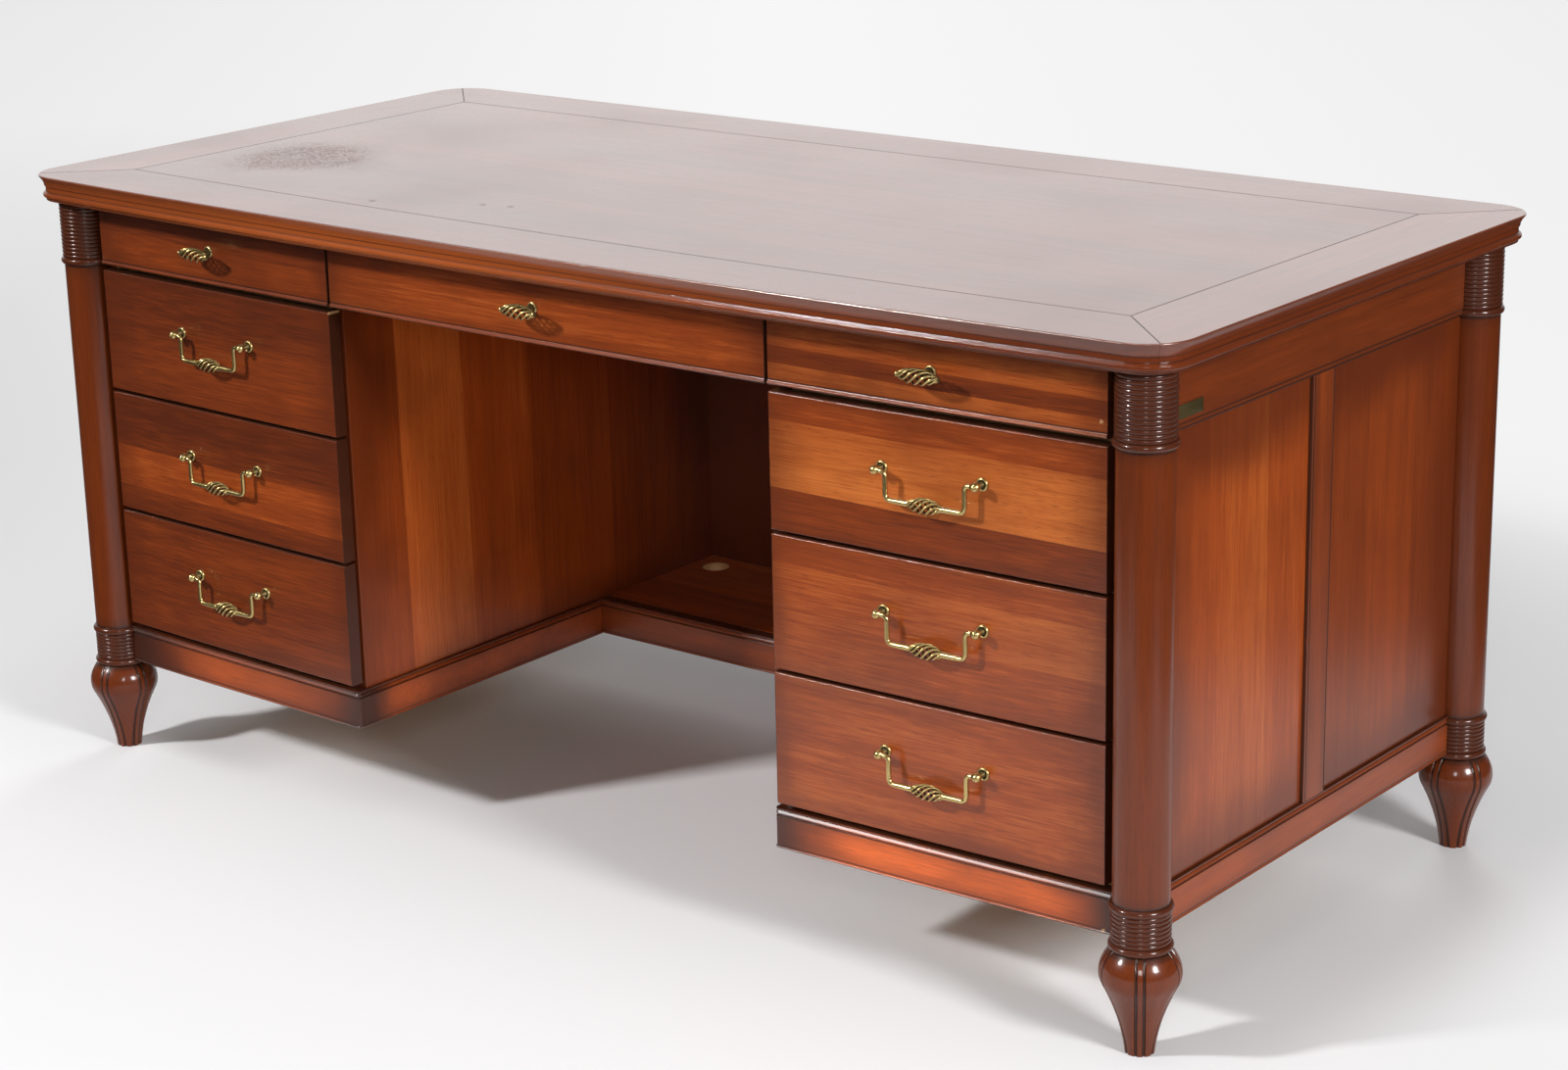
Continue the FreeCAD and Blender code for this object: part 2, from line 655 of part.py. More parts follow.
def plinths(rooms):
    """The moulded plinth under each pedestal, turning the corner into the kneehole."""
    knee_turn = f"asin(knee_half / {BOW_R})"
    corner_turn = f"(90 deg + {knee_turn})"
    corner_y = bowed_y("0", "knee_half")
    length = f"(knee_shelf_y - toe_bead_out - joint - {corner_y})"
    for side, sign, start in (("left", "-", f"-{corner_turn}"), ("right", "", "180 deg")):
        run = doc.addObject("PartDesign::Body", f"plinth_{side}_run")
        turn(place(run, "0", BOW_Y), f"{sign}({POST_TURN} + {knee_turn}) / 2")
        section = sketch_on(run, f"plinth_{side}_section", "YZ_Plane")
        base_section(section, lambda out: f"-({BOW_R} + {out})", "(-carcass_in)")
        revolve(run, section, f"plinth_{side}_bow", f"{POST_TURN} - {knee_turn}", symmetric=True)

        corner = doc.addObject("PartDesign::Body", f"plinth_{side}_corner")
        turn(place(corner, f"{sign}knee_half", corner_y), start)
        section = sketch_on(corner, f"plinth_{side}_corner_section", "XZ_Plane")
        base_section(section, facing(""), "0")
        revolve(corner, section, f"plinth_{side}_corner_turning", corner_turn)

        knee = doc.addObject("PartDesign::Body", f"plinth_{side}_return")
        place(knee, f"{sign}knee_half", f"{corner_y} + {length} / 2")
        section = sketch_on(knee, f"plinth_{side}_return_section", "XZ_Plane")
        base_section(section, facing("" if sign else "-"), "0")
        pad(knee, section, f"plinth_{side}_return_length", length, symmetric=True)
        joined = fuse(f"plinth_{side}_joined", [run, corner, knee])
        finish(f"plinth_{side}", cut(f"plinth_{side}", joined, rooms))


def kneehole():
    """The low shelf of the kneehole with its moulded front rail and the hole for a cable."""
    rail = doc.addObject("PartDesign::Body", "knee_shelf_rail")
    place(rail, "0", "knee_shelf_y + plinth_out")
    section = sketch_on(rail, "knee_rail_section", "YZ_Plane")
    base_section(section, facing("-"), "plinth_out - knee_shelf_thick")
    pad(rail, section, "knee_rail_length", "2 * (knee_half - joint)", symmetric=True)
    finish("knee_shelf_rail", rail)
    shelf = board("knee_shelf_blank", "-(knee_half - joint)", "knee_half - joint",
                  "knee_shelf_y + knee_shelf_thick + joint", f"{BACK_FACE} - joint",
                  "base_high - knee_shelf_thick", "base_high")
    hole = rod("cable_hole", "-(knee_half - cable_in)", f"{BACK_FACE} - cable_in", "0", "height", "cable_r")
    finish("knee_shelf", cut("knee_shelf", shelf, hole))


# ---------------------------------------------------------------- drawers

def front_run(name, low, high, beaded):
    """A drawer front's section carried along the bow over the whole width of the desk."""
    body = doc.addObject("PartDesign::Body", name)
    place(body, "0", BOW_Y)
    section = sketch_on(body, f"{name}_section", "YZ_Plane")

    def at(out, up):
        return f"-({BOW_R} + {out})", up

    inner = "face_out - front_thick"
    if beaded:
        foot = curved(at("face_out", low), at("face_out", f"({low} + bead_high)"), "-bead_out")
        foot.append(at("face_out", f"({low} + bead_high)"))
    else:
        foot = [at("face_out - front_bevel", low), at("face_out", f"{low} + front_bevel")]
    outline(section, [at(inner, low)] + foot + [at("face_out", f"{high} - front_bevel"),
                                                at("face_out - front_bevel", high), at(inner, high)])
    revolve(body, section, f"{name}_bow", f"2 * {POST_TURN}", symmetric=True)
    return body


def drawer_front(name, run, west, east):
    room = board(f"{name}_room", west, east, f"{FRONT} - overhang", MIDDLE, "0", "height")
    finish(name, common(name, run, room))


def drawer_box(name, west, east, low, high, outer_bow, inner_bow):
    """An open-topped box whose front wall follows the back of the bowed front."""
    back = f"{BACK_FACE} - box_back"
    blank = board(f"{name}_blank", west, east, f"{FRONT} - bow", back, low, high)
    hollow = board(f"{name}_hollow", f"{west} + box_wall", f"{east} - box_wall", f"{FRONT} - bow",
                   f"{back} - box_wall", f"{low} + box_floor", f"{high} + box_wall")
    finish(name, cut(name, common(f"{name}_bowed", blank, outer_bow),
                     common(f"{name}_inside", hollow, inner_bow)))


def flat(*corners):
    return Part.Face(Part.makePolygon(list(corners) + [corners[0]]))


def few_sided(profile, along, across):
    """A small turned fitting with few flat sides, from places (distance, radius) along its axis."""
    beside = along.cross(across)
    rims = []
    for distance, radius in profile:
        turns = [2 * math.pi * (side + 0.5) / SMALL_SIDES for side in range(SMALL_SIDES)]
        rims.append([along * distance + across * (radius * math.cos(turn)) + beside * (radius * math.sin(turn))
                     for turn in turns])
    faces = [flat(*rims[0]), flat(*reversed(rims[-1]))]
    for here, there in zip(rims, rims[1:]):
        for side in range(SMALL_SIDES):
            following = (side + 1) % SMALL_SIDES
            faces.append(flat(here[side], here[following], there[following], there[side]))
    return Part.makeSolid(Part.makeShell(faces))


def cage(name, length, phase):
    """An open cage of twisted wires between two collars, along X and about the origin.

    Each wire is built up of flat faces between three-sided sections that swell out and go round.
    The phase turns the cage by that share of the step from wire to wire."""
    long = sheet.get(length)
    wires = int(sheet.get("cage_wires"))
    stations = round(sheet.get("cage_turn") / CAGE_STEP)
    thin = sheet.get("cage_wire_r")
    end_r = sheet.get("cage_end_r")
    swell = sheet.get("cage_r") - end_r
    reach = long / 2

    def centre(wire, share):
        angle = math.radians(360 * (wire + phase) / wires - sheet.get("cage_turn") * (share - 0.5))
        radius = end_r + swell * math.sin(math.pi * share) ** CAGE_FULLNESS
        return V((2 * share - 1) * reach, radius * math.cos(angle), radius * math.sin(angle))

    def section(wire, share):
        here = centre(wire, share)
        along = centre(wire, min(share + NEARBY, 1)) - centre(wire, max(share - NEARBY, 0))
        out = V(0, here.y, here.z).normalize()
        side = along.cross(out).normalize()
        up = side.cross(along).normalize()
        return [here + up * (thin * math.cos(turn)) + side * (thin * math.sin(turn))
                for turn in (0, math.radians(120), math.radians(240))]

    def strand(wire):
        sections = [section(wire, step / stations) for step in range(stations + 1)]
        faces = [flat(*sections[0]), flat(*reversed(sections[-1]))]
        for here, there in zip(sections, sections[1:]):
            for corner in range(3):
                beside = (corner + 1) % 3
                faces.append(flat(here[corner], here[beside], there[beside]))
                faces.append(flat(here[corner], there[beside], there[corner]))
        return Part.makeSolid(Part.makeShell(faces))

    def collar(end):
        start = end * reach - sheet.get("collar_long") / 2
        radius = sheet.get("collar_r")
        return few_sided([(start, radius), (start + sheet.get("collar_long"), radius)], V(1, 0, 0), V(0, 1, 0))

    parts = [collar(-1), collar(1)] + [strand(wire) for wire in range(wires)]
    feature = doc.addObject("Part::Feature", name)
    feature.Shape = parts[0].multiFuse(parts[1:])
    return feature


def bail():
    """The bail as it hangs from its pivot: pins, arms and bar of bent wire, and the cage between."""
    half = doc.addObject("PartDesign::Body", "bail_half")
    shoulder = "(pull_apart / 2 - ball_r - ball_gap)"
    arm = "(pull_apart / 2 - arm_in)"
    path = sketch_on(half, "bail_path", "XZ_Plane")
    outline(path, [
        (shoulder, "0"), (f"{arm} + bail_bend", "0"), (arm, "-bail_bend"),
        (arm, "bail_bend - bail_drop"), (f"{arm} - bail_bend", "-bail_drop"),
        ("cage_long / 2", "-bail_drop")], closed=False)
    section = sketch_on(half, "bail_section", "YZ_Plane", shoulder)
    slant = "wire_r * sqrt(3) / 2"
    outline(section, [("wire_r", "0"), ("wire_r / 2", slant), ("-wire_r / 2", slant), ("-wire_r", "0"),
                      ("-wire_r / 2", f"-{slant}"), ("wire_r / 2", f"-{slant}")])
    pipe = half.newObject("PartDesign::AdditivePipe", "bail_pipe")
    pipe.Profile = section
    pipe.Spine = (path, [])
    pipe.Transition = "Right corner"
    half.Tip = pipe
    other = doc.addObject("Part::Mirroring", "bail_other_half")
    other.Source = half
    other.Normal = V(1, 0, 0)
    basket = place(group("bail_basket", [cage("bail_cage", "cage_long", 0.5)]), "0", "0", "-bail_drop")
    pins = [pin_prism(f"bail_pin_{side}", side, "pin_r", "pin_in", "ball_gap + wire_r")
            for side in ("left", "right")]
    return fuse("bail", [half, other, basket] + pins)


def pin_prism(name, side, radius, depth, before="0"):
    """A few-sided pin or bore along the bail's pivot, a depth into the ball, from before its face."""
    prism = doc.addObject("Part::Prism", name)
    prism.Polygon = SMALL_SIDES
    bind(prism, "Circumradius", radius)
    bind(prism, "Height", f"({depth}) + ({before})")
    mark, turn_y = ("", 90) if side == "right" else ("-", -90)
    prism.Placement = FreeCAD.Placement(V(0, 0, 0), FreeCAD.Rotation(V(0, 1, 0), turn_y))
    return place(prism, f"{mark}(pull_apart / 2 - ball_r - ({before}))")


def fitting(name, reach, ball):
    """A rosette and stem standing out of a drawer's face along -Y, with a ball or without."""
    thick = sheet.get("rosette_thick")
    stem_r = sheet.get("pull_stem_r")
    ball_r = sheet.get("ball_r")
    profile = [(0, sheet.get("rosette_r")), (thick / 2, sheet.get("rosette_r")), (thick, stem_r)]
    if ball:
        profile += [(reach - ball_r, stem_r), (reach - ball_r / 2, ball_r), (reach + ball_r / 2, ball_r),
                    (reach + ball_r, stem_r)]
    else:
        profile.append((reach, stem_r))
    feature = doc.addObject("Part::Feature", name)
    feature.Shape = few_sided(profile, V(0, -1, 0), V(1, 0, 0))
    return feature


def pull_posts():
    """The two posts of a pull, each ball bored for a pin of the bail."""
    post = fitting("pull_post", sheet.get("pull_out"), True)
    pair = []
    for side, sign in (("left", "-"), ("right", "")):
        stand = place(group(f"pull_post_{side}", [post]), f"{sign}pull_apart / 2")
        bore = pin_prism(f"pin_bore_{side}", side, "pin_r + pin_play", "pin_in + pin_play", "ball_gap")
        bind(bore, "Placement.Base.y", "-pull_out")
        pair.append(cut(f"bored_post_{side}", stand, bore))
    return group("pull_post_pair", pair)


def knob():
    """A frieze drawer's pull: a stem that carries the rearmost wire of a cage lying crosswise."""
    stem = fitting("knob_stem", sheet.get("knob_out") - sheet.get("cage_r"), False)
    basket = place(group("knob_basket", [cage("knob_cage", "knob_long", 0)]), "0", "-knob_out")
    return fuse("knob", [stem, basket])


def on_face(name, shape, side, z, out="0"):
    """Fixed square on the bowed faces at the middle of a drawer, at a height."""
    way = {"left": -1, "middle": 0, "right": 1}[side]
    mount = turn(group(name, [shape]), f"{way} * {DRAWER_TURN}")
    x = f"{way} * {DRAWER_X}"
    reach = f"({FACE_R} + {out})"
    place(mount, f"{x} * {reach} / {FACE_R}",
          f"{BOW_Y} - sqrt({reach} ^ 2 - ({x} * {reach} / {FACE_R}) ^ 2)", z)
    return finish(name, mount)


def pedestal_drawers(bow_line):
    pair = pull_posts()
    hanging = bail()
    for row in range(3):
        low = drawer_low(row)
        high = f"({low} + {DRAWER_TALL})"
        run = front_run(f"drawer_row_{row}", low, high, beaded=False)
        for side in ("left", "right"):
            name = f"drawer_{side}_{('bottom', 'middle', 'top')[row]}"
            west, east = mirrored(side, FRONT_WEST, FRONT_EAST)
            drawer_front(f"{name}_front", run, west, east)
            west, east = mirrored(side, "knee_half + knee_board + box_play", f"{STILE_X} - box_play")
            drawer_box(f"{name}_box", west, east, f"({low} + box_rise)", f"({high} - box_short)",
                       *bow_line)
            on_face(f"{name}_pull_posts", pair, side, f"{high} - pull_drop")
            on_face(f"{name}_bail", hanging, side, f"{high} - pull_drop", "pull_out")


def frieze_drawers(bow_line):
    handle = knob()
    run = front_run("frieze_row", FRIEZE_LOW, f"({TOP_LOW} - top_gap)", beaded=True)
    half = "(knee_half - front_side / 2)"
    middle_low = f"({FRIEZE_LOW} + runner_thick + glide)"
    for side in ("left", "middle", "right"):
        name = f"frieze_drawer_{side}"
        if side == "middle":
            west, east = f"-{half}", half
            box_west, box_east = "-(knee_half - box_play)", "(knee_half - box_play)"
            low = middle_low
        else:
            west, east = mirrored(side, FRONT_WEST, FRONT_EAST)
            box_west, box_east = mirrored(side, "knee_half + knee_board + box_play", f"{STILE_X} - box_play")
            low = f"({FRIEZE_LOW} + box_rise)"
        drawer_front(f"{name}_front", run, west, east)
        drawer_box(f"{name}_box", box_west, box_east, low, f"({TOP_LOW} - box_under_top)", *bow_line)
        on_face(f"{name}_knob", handle, side, f"{FRIEZE_LOW} + knob_low")


# ---------------------------------------------------------------- build, test and write

def build():
    rooms = post_clearance()
    posts()
    border_rails()
    top_panel()
    side_frames(rooms)
    back_frame(rooms)
    pedestals(rooms)
    plinths(rooms)
    kneehole()
    bow_line = (bow_disc("face_out - front_thick"), bow_disc("face_out - front_thick - box_wall"))
    pedestal_drawers(bow_line)
    frieze_drawers(bow_line)
    doc.recompute()


def test():
    """Every object must have been made, and every piece must be one or more sound solids."""
    for thing in doc.Objects:
        if "Invalid" in thing.State or "Error" in thing.State:
            raise RuntimeError(f"{thing.Name} ({thing.Label}) failed: {thing.State}")
    for piece in pieces:
        shape = piece.Shape
        if shape.isNull() or not shape.isValid() or not shape.Solids:
            raise RuntimeError(f"{piece.Label} is not a sound solid")


def write():
    os.makedirs("parts", exist_ok=True)
    for piece in pieces:
        piece.Shape.exportStep(f"parts/{piece.Label}.step")


build()
test()
write()
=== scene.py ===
import json
import math

import bpy
from mathutils import Matrix, Vector


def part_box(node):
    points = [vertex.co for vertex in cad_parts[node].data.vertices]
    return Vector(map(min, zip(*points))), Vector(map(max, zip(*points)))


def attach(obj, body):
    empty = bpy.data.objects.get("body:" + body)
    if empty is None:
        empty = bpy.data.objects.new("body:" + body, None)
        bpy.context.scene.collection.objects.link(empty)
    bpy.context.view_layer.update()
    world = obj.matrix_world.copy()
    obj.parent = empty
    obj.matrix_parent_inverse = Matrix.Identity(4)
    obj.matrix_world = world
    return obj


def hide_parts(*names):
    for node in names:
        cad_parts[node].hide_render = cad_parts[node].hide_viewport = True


# The looks of a partners desk: stained wood, ringed and fluted posts, and twisted cage pulls in
# antique brass, built around the desk's CAD frame. Metres; the drawers face -Y.

bl_info = {
    "name": "Partners desk looks",
    "version": (1, 0, 0),
    "blender": (4, 5, 0),
    "location": "3D View > Sidebar > Desk",
    "description": "Builds the fine shapes and finishes of a partners desk around its CAD frame",
    "category": "Object",
}

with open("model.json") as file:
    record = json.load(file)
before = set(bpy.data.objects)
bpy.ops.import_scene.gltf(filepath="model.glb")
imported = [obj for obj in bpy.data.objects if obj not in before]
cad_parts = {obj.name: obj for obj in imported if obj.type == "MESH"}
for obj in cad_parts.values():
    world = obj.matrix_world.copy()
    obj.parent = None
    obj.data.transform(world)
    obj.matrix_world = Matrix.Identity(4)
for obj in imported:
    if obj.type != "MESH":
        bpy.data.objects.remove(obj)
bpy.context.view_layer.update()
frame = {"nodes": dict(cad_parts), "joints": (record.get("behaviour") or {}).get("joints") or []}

MM = 0.001
NODES = frame["nodes"]
JOINTS = {joint["name"]: joint for joint in frame["joints"]}
SIDES = ("left", "right")
ROWS = ("bottom", "middle", "top")
CORNERS = ("front_left", "front_right", "back_left", "back_right")
TRIO = ("left", "middle", "right")

MATERIALS = {}


# ---------------------------------------------------------------- sizes and colours a user would change

class DeskPostSettings(bpy.types.PropertyGroup):
    ring_depth: bpy.props.FloatProperty(
        name="Ring depth", description="How deep the valleys between the fine rings are",
        default=1.5 * MM, min=0, unit="LENGTH")
    capital_rings: bpy.props.IntProperty(
        name="Capital rings", description="Fine rings under the top", default=15, min=1)
    foot_rings: bpy.props.IntProperty(
        name="Foot rings", description="Fine rings over the foot", default=7, min=1)
    flute_pairs: bpy.props.IntProperty(
        name="Flute pairs", description="Pairs of grooves round the foot", default=5, min=1)
    flute_depth: bpy.props.FloatProperty(
        name="Flute depth", description="Depth of a groove of the foot",
        default=1.9 * MM, min=0, unit="LENGTH")


class DeskPullSettings(bpy.types.PropertyGroup):
    wire: bpy.props.FloatProperty(
        name="Bail wire", description="Half thickness of the bail's arms",
        default=2.9 * MM, min=0, unit="LENGTH")
    strand: bpy.props.FloatProperty(
        name="Cage strand", description="Half thickness of a strand of the cage",
        default=1.3 * MM, min=0, unit="LENGTH")
    strands: bpy.props.IntProperty(
        name="Strands", description="Strands of a cage", default=6, min=2)
    twist: bpy.props.FloatProperty(
        name="Twist", description="How far each strand goes round",
        default=math.radians(300), subtype="ANGLE")


class DeskFinishSettings(bpy.types.PropertyGroup):
    light: bpy.props.FloatVectorProperty(
        name="Light grain", description="Colour of the light grain", subtype="COLOR", size=3, min=0, max=1,
        default=(0.54, 0.15, 0.029))
    middle: bpy.props.FloatVectorProperty(
        name="Stain", description="Colour of the stained wood", subtype="COLOR", size=3, min=0, max=1,
        default=(0.27, 0.048, 0.0065))
    dark: bpy.props.FloatVectorProperty(
        name="Dark grain", description="Colour of the dark grain", subtype="COLOR", size=3, min=0, max=1,
        default=(0.085, 0.015, 0.0035))
    # Near black: the colour of the painted shade in the posts' creases and in grooves and quirks, also laid
    # on the plinths' inner ends.
    near_black: bpy.props.FloatVectorProperty(
        name="Near_black", description="Colour rubbed into edges, rings and grooves", subtype="COLOR", size=3,
        min=0, max=1, default=(0.016, 0.008, 0.0055))
    brass: bpy.props.FloatVectorProperty(
        name="Brass", description="Colour of the antique brass", subtype="COLOR", size=3, min=0, max=1,
        default=(0.58, 0.44, 0.18))
    bare: bpy.props.FloatVectorProperty(
        name="Bare wood", description="Colour of unstained wood inside the drawers and in chips",
        subtype="COLOR", size=3, min=0, max=1, default=(0.47, 0.27, 0.12))


def settings(name):
    return getattr(bpy.context.scene, name)


def box_corners(node):
    """The low and the high corner of a CAD node."""
    return [Vector(corner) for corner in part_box(node)]


# ---------------------------------------------------------------- short hands for node trees

def add_node(tree, kind, inputs=None, **options):
    """A node with its options set and its inputs given as values or linked to sockets."""
    made = tree.nodes.new(kind)
    for name, value in options.items():
        setattr(made, name, value)
    for name, value in (inputs or {}).items():
        if isinstance(value, bpy.types.NodeSocket):
            tree.links.new(value, made.inputs[name])
        else:
            made.inputs[name].default_value = value
    return made


def calc(tree, operation, *values):
    """The result of a Math node."""
    return add_node(tree, "ShaderNodeMath", dict(enumerate(values)), operation=operation).outputs[0]


def parts_of(tree, vector):
    """The X, Y and Z of a vector."""
    return add_node(tree, "ShaderNodeSeparateXYZ", {0: vector}).outputs


def vector_of(tree, x=0.0, y=0.0, z=0.0):
    return add_node(tree, "ShaderNodeCombineXYZ", {"X": x, "Y": y, "Z": z}).outputs[0]


def vector_calc(tree, operation, first, second):
    """The vector that a Vector Math node gives."""
    made = add_node(tree, "ShaderNodeVectorMath", {0: first, 1: second}, operation=operation)
    return made.outputs["Vector"]


def vector_value(tree, operation, first, second=(0, 0, 0)):
    """The number that a Vector Math node gives, such as a distance, a length or a dot product."""
    made = add_node(tree, "ShaderNodeVectorMath", {0: first, 1: second}, operation=operation)
    return made.outputs["Value"]


def mixed(tree, share, first, second):
    """Two colours mixed by a share."""
    made = add_node(tree, "ShaderNodeMix", {0: share, 6: colour(first), 7: colour(second)}, data_type="RGBA")
    return made.outputs[2]


def mixed_value(tree, share, first, second):
    return add_node(tree, "ShaderNodeMix", {0: share, 2: first, 3: second}, data_type="FLOAT").outputs[0]


def colour(value):
    return value if isinstance(value, bpy.types.NodeSocket) else (*value, 1.0)


def span(tree, value, low, high, to_low=0.0, to_high=1.0, smooth=False):
    """A value's place between low and high, clamped, from to_low to to_high."""
    ends = {"Value": value, "From Min": low, "From Max": high, "To Min": to_low, "To Max": to_high}
    made = add_node(tree, "ShaderNodeMapRange", ends)
    if smooth:
        made.interpolation_type = "SMOOTHSTEP"
    return made.outputs["Result"]


def noise(tree, vector, scale, detail=2.0, rough=0.5):
    return add_node(tree, "ShaderNodeTexNoise",
                    {"Vector": vector, "Scale": scale, "Detail": detail, "Roughness": rough}).outputs["Fac"]


def scaled(tree, vector, factors):
    return vector_calc(tree, "MULTIPLY", vector, factors)


def new_group(name, inputs, outputs, tree_kind="ShaderNodeTree"):
    """An empty node group with named sockets: {name: (kind, default)} and {name: kind}."""
    group = bpy.data.node_groups.new(name, tree_kind)
    for title, (kind, default) in inputs.items():
        socket = group.interface.new_socket(title, in_out="INPUT", socket_type=kind)
        if default is not None:
            socket.default_value = default
    for title, kind in outputs.items():
        group.interface.new_socket(title, in_out="OUTPUT", socket_type=kind)
    return group, group.nodes.new("NodeGroupInput").outputs, group.nodes.new("NodeGroupOutput").inputs


def use_group(tree, name, inputs):
    """The outputs of a shared shader group placed in a tree."""
    return add_node(tree, "ShaderNodeGroup", inputs, node_tree=bpy.data.node_groups[name]).outputs


def new_material(name):
    """A material with an empty tree and its Principled shader."""
    material = bpy.data.materials.new(name)
    material.use_nodes = True
    tree = material.node_tree
    tree.nodes.clear()
    output = tree.nodes.new("ShaderNodeOutputMaterial")
    shader = tree.nodes.new("ShaderNodeBsdfPrincipled")
    tree.links.new(shader.outputs[0], output.inputs["Surface"])
    MATERIALS[name] = material
    return tree, shader


def feed(tree, shader, **inputs):
    """Values or sockets for a Principled shader: words of an input's name are joined by _."""
    for name, value in inputs.items():
        socket = shader.inputs[name.replace("_", " ")]
        if isinstance(value, bpy.types.NodeSocket):
            tree.links.new(value, socket)
        elif isinstance(value, tuple) and len(value) == 3 and socket.type == "RGBA":
            socket.default_value = (*value, 1.0)
        else:
            socket.default_value = value


# ---------------------------------------------------------------- shared effects

# How far a stave's figure lies from that of a stave of another tone, per unit of tone.
STAVE_SHIFT = 7.3
# The mean of the weighted waves, streaks and fine lines, taken off so that the tone sets the level.
FIGURE_MEAN = 0.725


def wood_group():
    """Grain along X about a tone from 0, dark, to 1, light: waves, streaks, fine lines and pores."""
    group, given, out = new_group("Wood grain", {
        "Vector": ("NodeSocketVector", None), "Tone": ("NodeSocketFloat", 0.5),
        "Contrast": ("NodeSocketFloat", 1.0), "Light": ("NodeSocketColor", (0.4, 0.12, 0.03, 1)),
        "Middle": ("NodeSocketColor", (0.2, 0.05, 0.01, 1)),
        "Dark": ("NodeSocketColor", (0.08, 0.02, 0.005, 1))},
        {"Color": "NodeSocketColor", "Height": "NodeSocketFloat", "Cloud": "NodeSocketFloat"})
    shift = calc(group, "MULTIPLY", given["Tone"], STAVE_SHIFT)
    at = vector_calc(group, "ADD", given["Vector"], vector_of(group, shift, shift))
    cloud = noise(group, given["Vector"], 5.0, 3.0)
    waves = noise(group, scaled(group, at, (1.3, 15, 15)), 1.0, 2.0)
    streaks = noise(group, scaled(group, at, (3.4, 85, 85)), 1.0, 4.0, 0.6)
    fine = noise(group, scaled(group, at, (13, 520, 520)), 1.0, 2.0)
    pores = noise(group, scaled(group, at, (45, 1000, 1000)), 1.0, 1.0)
    pore = span(group, pores, 0.62, 0.7)
    figure = -FIGURE_MEAN
    for part, weight in ((waves, 0.5), (streaks, 0.4), (fine, 0.55)):
        figure = calc(group, "MULTIPLY_ADD", part, weight, figure)
    level = calc(group, "MULTIPLY_ADD", given["Tone"], 0.62, 0.09)
    figure = calc(group, "MULTIPLY_ADD", figure, given["Contrast"], level)
    base = mixed(group, span(group, figure, 0.5, 0.9), given["Middle"], given["Light"])
    base = mixed(group, span(group, figure, 0.52, 0.16), base, given["Dark"])
    base = mixed(group, calc(group, "MULTIPLY", pore, 0.4), base, given["Dark"])
    group.links.new(base, out["Color"])
    height = calc(group, "MULTIPLY_ADD", fine, 0.5, calc(group, "MULTIPLY", pore, -1.0))
    group.links.new(height, out["Height"])
    group.links.new(cloud, out["Cloud"])
    return group


def edge_group():
    """How near a point is to a box's faces: 1 on them, falling softly to 0 at a width inside.

    An axis is left out by a Low and a High far apart. Speck is the scale of the ragged border."""
    group, given, out = new_group("Edge distance", {
        "Vector": ("NodeSocketVector", None), "Low": ("NodeSocketVector", None),
        "High": ("NodeSocketVector", None), "Width": ("NodeSocketFloat", 0.01),
        "Speck": ("NodeSocketFloat", 10.0)},
        {"Mask": "NodeSocketFloat"})
    above = vector_calc(group, "SUBTRACT", given["Vector"], given["Low"])
    below = vector_calc(group, "SUBTRACT", given["High"], given["Vector"])
    near = parts_of(group, vector_calc(group, "MINIMUM", above, below))
    least = calc(group, "MINIMUM", calc(group, "MINIMUM", near["X"], near["Y"]), near["Z"])
    ragged = calc(group, "SUBTRACT", noise(group, given["Vector"], given["Speck"], 3.0), 0.5)
    uneven = calc(group, "MULTIPLY_ADD", ragged, calc(group, "MULTIPLY", given["Width"], 1.6), least)
    share = calc(group, "DIVIDE", uneven, given["Width"])
    group.links.new(span(group, share, 0.15, 1.0, 1.0, 0.0, smooth=True), out["Mask"])
    return group


def object_place(tree):
    return tree.nodes.new("ShaderNodeTexCoord").outputs["Object"]


def turned_axes(tree, axes):
    """Object coordinates in another order: along the grain, across it and through the board."""
    given = parts_of(tree, object_place(tree))
    return vector_of(tree, *(given[axis] for axis in axes))


# How much the glue lines of the drawn staves lean, as rise over run.
STAVE_SLANT = 0.012


def random_staves(tree, vector, width, contrast):
    """A tone for each glued stave, of uneven widths, across the grain."""
    across = calc(tree, "DIVIDE", parts_of(tree, vector)["Y"], width)
    cells = add_node(tree, "ShaderNodeTexVoronoi", {"W": across, "Scale": 1.0}, voronoi_dimensions="1D")
    tone = add_node(tree, "ShaderNodeSeparateColor", {0: cells.outputs["Color"]}).outputs[0]
    return calc(tree, "MULTIPLY_ADD", calc(tree, "SUBTRACT", tone, 0.5), contrast, 0.5)


def chosen_staves(tree, vector, low, high, staves):
    """A tone for each glued stave from (share, tone), across the grain from low to high."""
    given = parts_of(tree, vector)
    slanted = calc(tree, "MULTIPLY_ADD", given["X"], STAVE_SLANT, given["Y"])
    ramp = add_node(tree, "ShaderNodeValToRGB", {"Fac": span(tree, slanted, low, high)})
    ramp.color_ramp.interpolation = "CONSTANT"
    marks = ramp.color_ramp.elements
    while len(marks) < len(staves):
        marks.new(1.0)
    for mark, (share, tone) in zip(marks, staves):
        mark.position = share
        mark.color = (tone, tone, tone, 1)
    return ramp.outputs["Color"]


def level_line(tree, value, at, half):
    """1 where a value is within half a width of a level, with soft sides."""
    off = calc(tree, "ABSOLUTE", calc(tree, "SUBTRACT", value, at))
    return span(tree, off, 0.55 * half, half, 1.0, 0.0)


def spot(tree, vector, centre, radius, ragged=0.5):
    """1 near a point, out to a ragged radius."""
    away = vector_value(tree, "DISTANCE", vector, centre)
    rough = noise(tree, vector, 0.9 / radius, 4.0, 0.7)
    away = calc(tree, "MULTIPLY_ADD", calc(tree, "SUBTRACT", rough, 0.5), ragged * 4 * radius, away)
    return span(tree, away, 0.4 * radius, radius, 1.0, 0.0)


